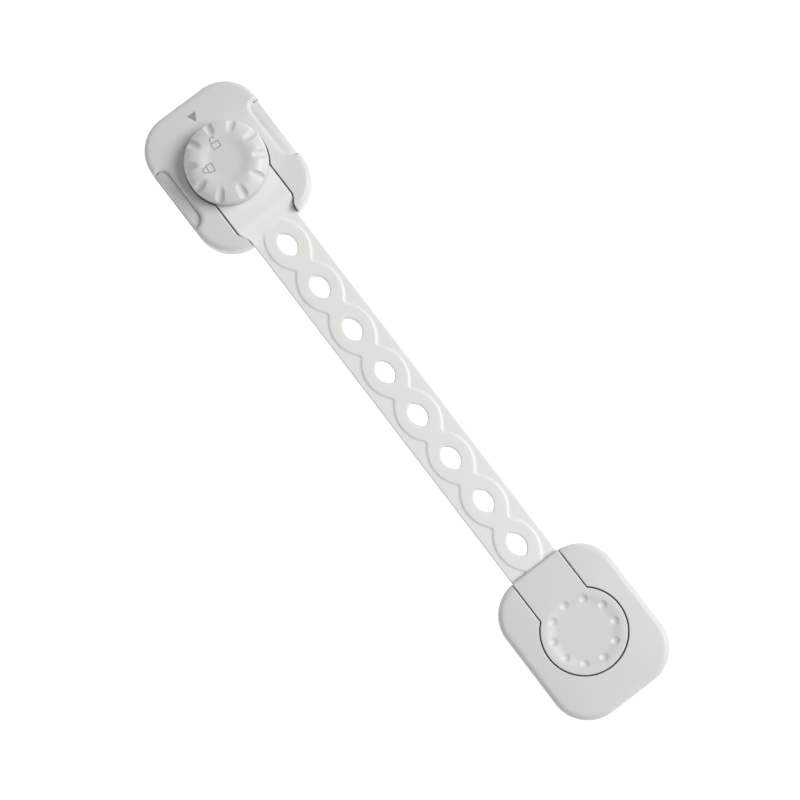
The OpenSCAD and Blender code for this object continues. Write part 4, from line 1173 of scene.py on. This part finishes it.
def outline_loop(inset, steps=16):
    x, y, r = HALF_L - CORNER_R, HALF_W - CORNER_R, CORNER_R - inset
    return (arc(x, y, r, 0, 90, steps) + arc(-x, y, r, 90, 180, steps)
            + arc(-x, -y, r, 180, 270, steps) + arc(x, -y, r, 270, 360, steps))


def make_pads():
    """Die-cut foam pads, whose soft edge bulges a little under the lock's weight."""
    for name, body, shift in (("lock_pad", "lock_base", LOCK_X), ("anchor_pad", "strap", ANCHOR_X)):
        levels = [(0.0, 0.12), (0.04, 0.05), (0.2, 0.0), (0.5, 0.02), (0.8, 0.0), (0.96, 0.05), (1.0, 0.12)]
        loops = [at_level(outline_loop(PAD_INSET + inset), z * PAD_T) for z, inset in levels]
        parts = [strip(b, a) for a, b in zip(loops, loops[1:])]
        for loop, z, up in ((loops[-1], PAD_T, True), (loops[0], 0.0, False)):
            parts.append(skin([[p[:2] for p in loop]], [], flat(z), up=up))
        obj = put(name + "_foam", mesh_of(name + "_foam", parts, shift))
        finish_piece(obj, body, [name], FOAM, 50)


def make_springs():
    """Round-wire compression springs behind the buttons."""
    rings, sides = 40, 10
    ends = (("left_rear", 1, -1), ("left_front", 1, 1), ("right_rear", -1, -1), ("right_front", -1, 1))
    for name, side, end in ends:
        count = SPRING_TURNS * rings
        points = []
        for i in range(count + 1):
            a = 2 * math.pi * i / rings
            along = WIRE_R + (SPRING_L - 2 * WIRE_R) * i / count
            for k in range(sides):
                b = 2 * math.pi * k / sides
                r = SPRING_R + WIRE_R * math.cos(b)
                points.append((r * math.cos(a), along + WIRE_R * math.sin(b), r * math.sin(a)))
        faces = []
        for i in range(count):
            for k in range(sides):
                p, q, n = i * sides, (i + 1) * sides, (k + 1) % sides
                faces.append((p + k, q + k, q + n, p + n))
        faces += [tuple(range(sides)), tuple(count * sides + k for k in range(sides))[::-1]]
        middle = LOCK_X + end * SPRING_X
        placed = [(middle + x, side * (SPRING_SEAT + y), SPRING_Z + z) for x, y, z in points]
        obj = put("spring_" + name + "_coil", mesh_of("spring_" + name + "_coil", [(placed, faces)]))
        mend(obj.data, outwards=True)
        finish_piece(obj, "lock_base", ["spring_" + name], SPRING, 60)
        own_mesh(obj)


# Printed marks
def print_line(path, width, level, closed=False):
    """A printed line of even width, as a film with a top, sides and an underside sunk into the surface."""
    path = np.array(walk(path + path[:1] if closed else path, 0.25))
    if closed:
        path = path[:-1]
    ahead = np.roll(path, -1, 0) - np.roll(path, 1, 0)
    if not closed:
        ahead[0], ahead[-1] = path[1] - path[0], path[-1] - path[-2]
    ahead /= np.linalg.norm(ahead, axis=1)[:, None]
    left = np.stack([-ahead[:, 1], ahead[:, 0]], 1) * width / 2
    rows = []
    for side, lift in ((1, FILM), (-1, FILM), (-1, -SUNK), (1, -SUNK)):
        p = path + side * left
        rows.append(at_level(p, np.minimum(level(p[:, 0], p[:, 1]) + lift, KNOB_TOP)))
    points = [q for row in rows for q in row]
    n = len(path)
    faces = []
    for i in range(n if closed else n - 1):
        j = (i + 1) % n
        for a in range(4):
            b = (a + 1) % 4
            faces.append((a * n + i, a * n + j, b * n + j, b * n + i)[::-1])
    if not closed:
        faces += [(0, n, 2 * n, 3 * n), (n - 1, 2 * n - 1, 3 * n - 1, 4 * n - 1)[::-1]]
    return points, faces


def padlock(x, y, turn, shut):
    """A plain padlock drawing: a box with a shackle, its top towards +Y before it is turned."""
    w, h, r, lift = 1.32, 0.95, 0.87, 0.75
    box = [(-w, -h), (w, -h), (w, h), (-w, h)]
    if shut:
        shackle = [(-r, h), (-r, h + lift)] + arc(0, h + lift, r, 180, 0, 14) + [(r, h)]
    else:
        shackle = [(-r, h), (-r, h + lift + 0.1)] + arc(0, h + lift + 0.15, r, 180, 10, 14)
    c, s = math.cos(math.radians(turn)), math.sin(math.radians(turn))
    return [[(x + a * c - b * s, y + a * s + b * c) for a, b in path] for path in (box, shackle)]


def make_marks():
    """An open and a shut padlock on the knob, and on the lock housing the triangle they are turned to."""
    lines = []
    for x, y, turn, shut in PADLOCKS:
        box, shackle = padlock(x, y, turn, shut)
        lines += [print_line(box, LINE_W, knob_level, True), print_line(shackle, LINE_W, knob_level)]
    obj = put("padlock_marks", mesh_of("padlock_marks", lines, LOCK_X))
    finish_piece(obj, "knob", [], INK)
    plan = walk(POINTER + POINTER[:1], 0.4)[:-1]
    top = skin([plan], grid_spots(edges_of(plan), 0.4, 0.15), lambda x, y: dome(x, y, LOCK_TOP) + 0.02)
    under = skin([plan], [], lambda x, y: dome(x, y, LOCK_TOP) - 0.06, up=False)
    wall = strip(top[0][: len(plan)], under[0][: len(plan)])
    obj = put("pointer_mark", mesh_of("pointer_mark", [top, under, wall], LOCK_X))
    finish_piece(obj, "lock_base", [], INK)


# The rest of the frame
def dress_frame():
    """Each CAD piece that stays in view or inside takes its own material."""
    looks = {"pad_foam": FOAM, "body_plastic": BODY, "core_plastic": ACETAL, "strap_rubber": STRAP,
             "screw_steel": ZINC, "spring_steel": SPRING}
    for part in frame["record"]["subparts"]:
        for slot in frame["nodes"][part["node"]].material_slots:
            slot.material = looks[part["material_slot"]]


place_camera()
light_studio()
lay_floor()
dress_frame()
make_housings()
make_knob()
make_cap()
make_strap()
make_buttons()
make_pads()
make_springs()
make_marks()
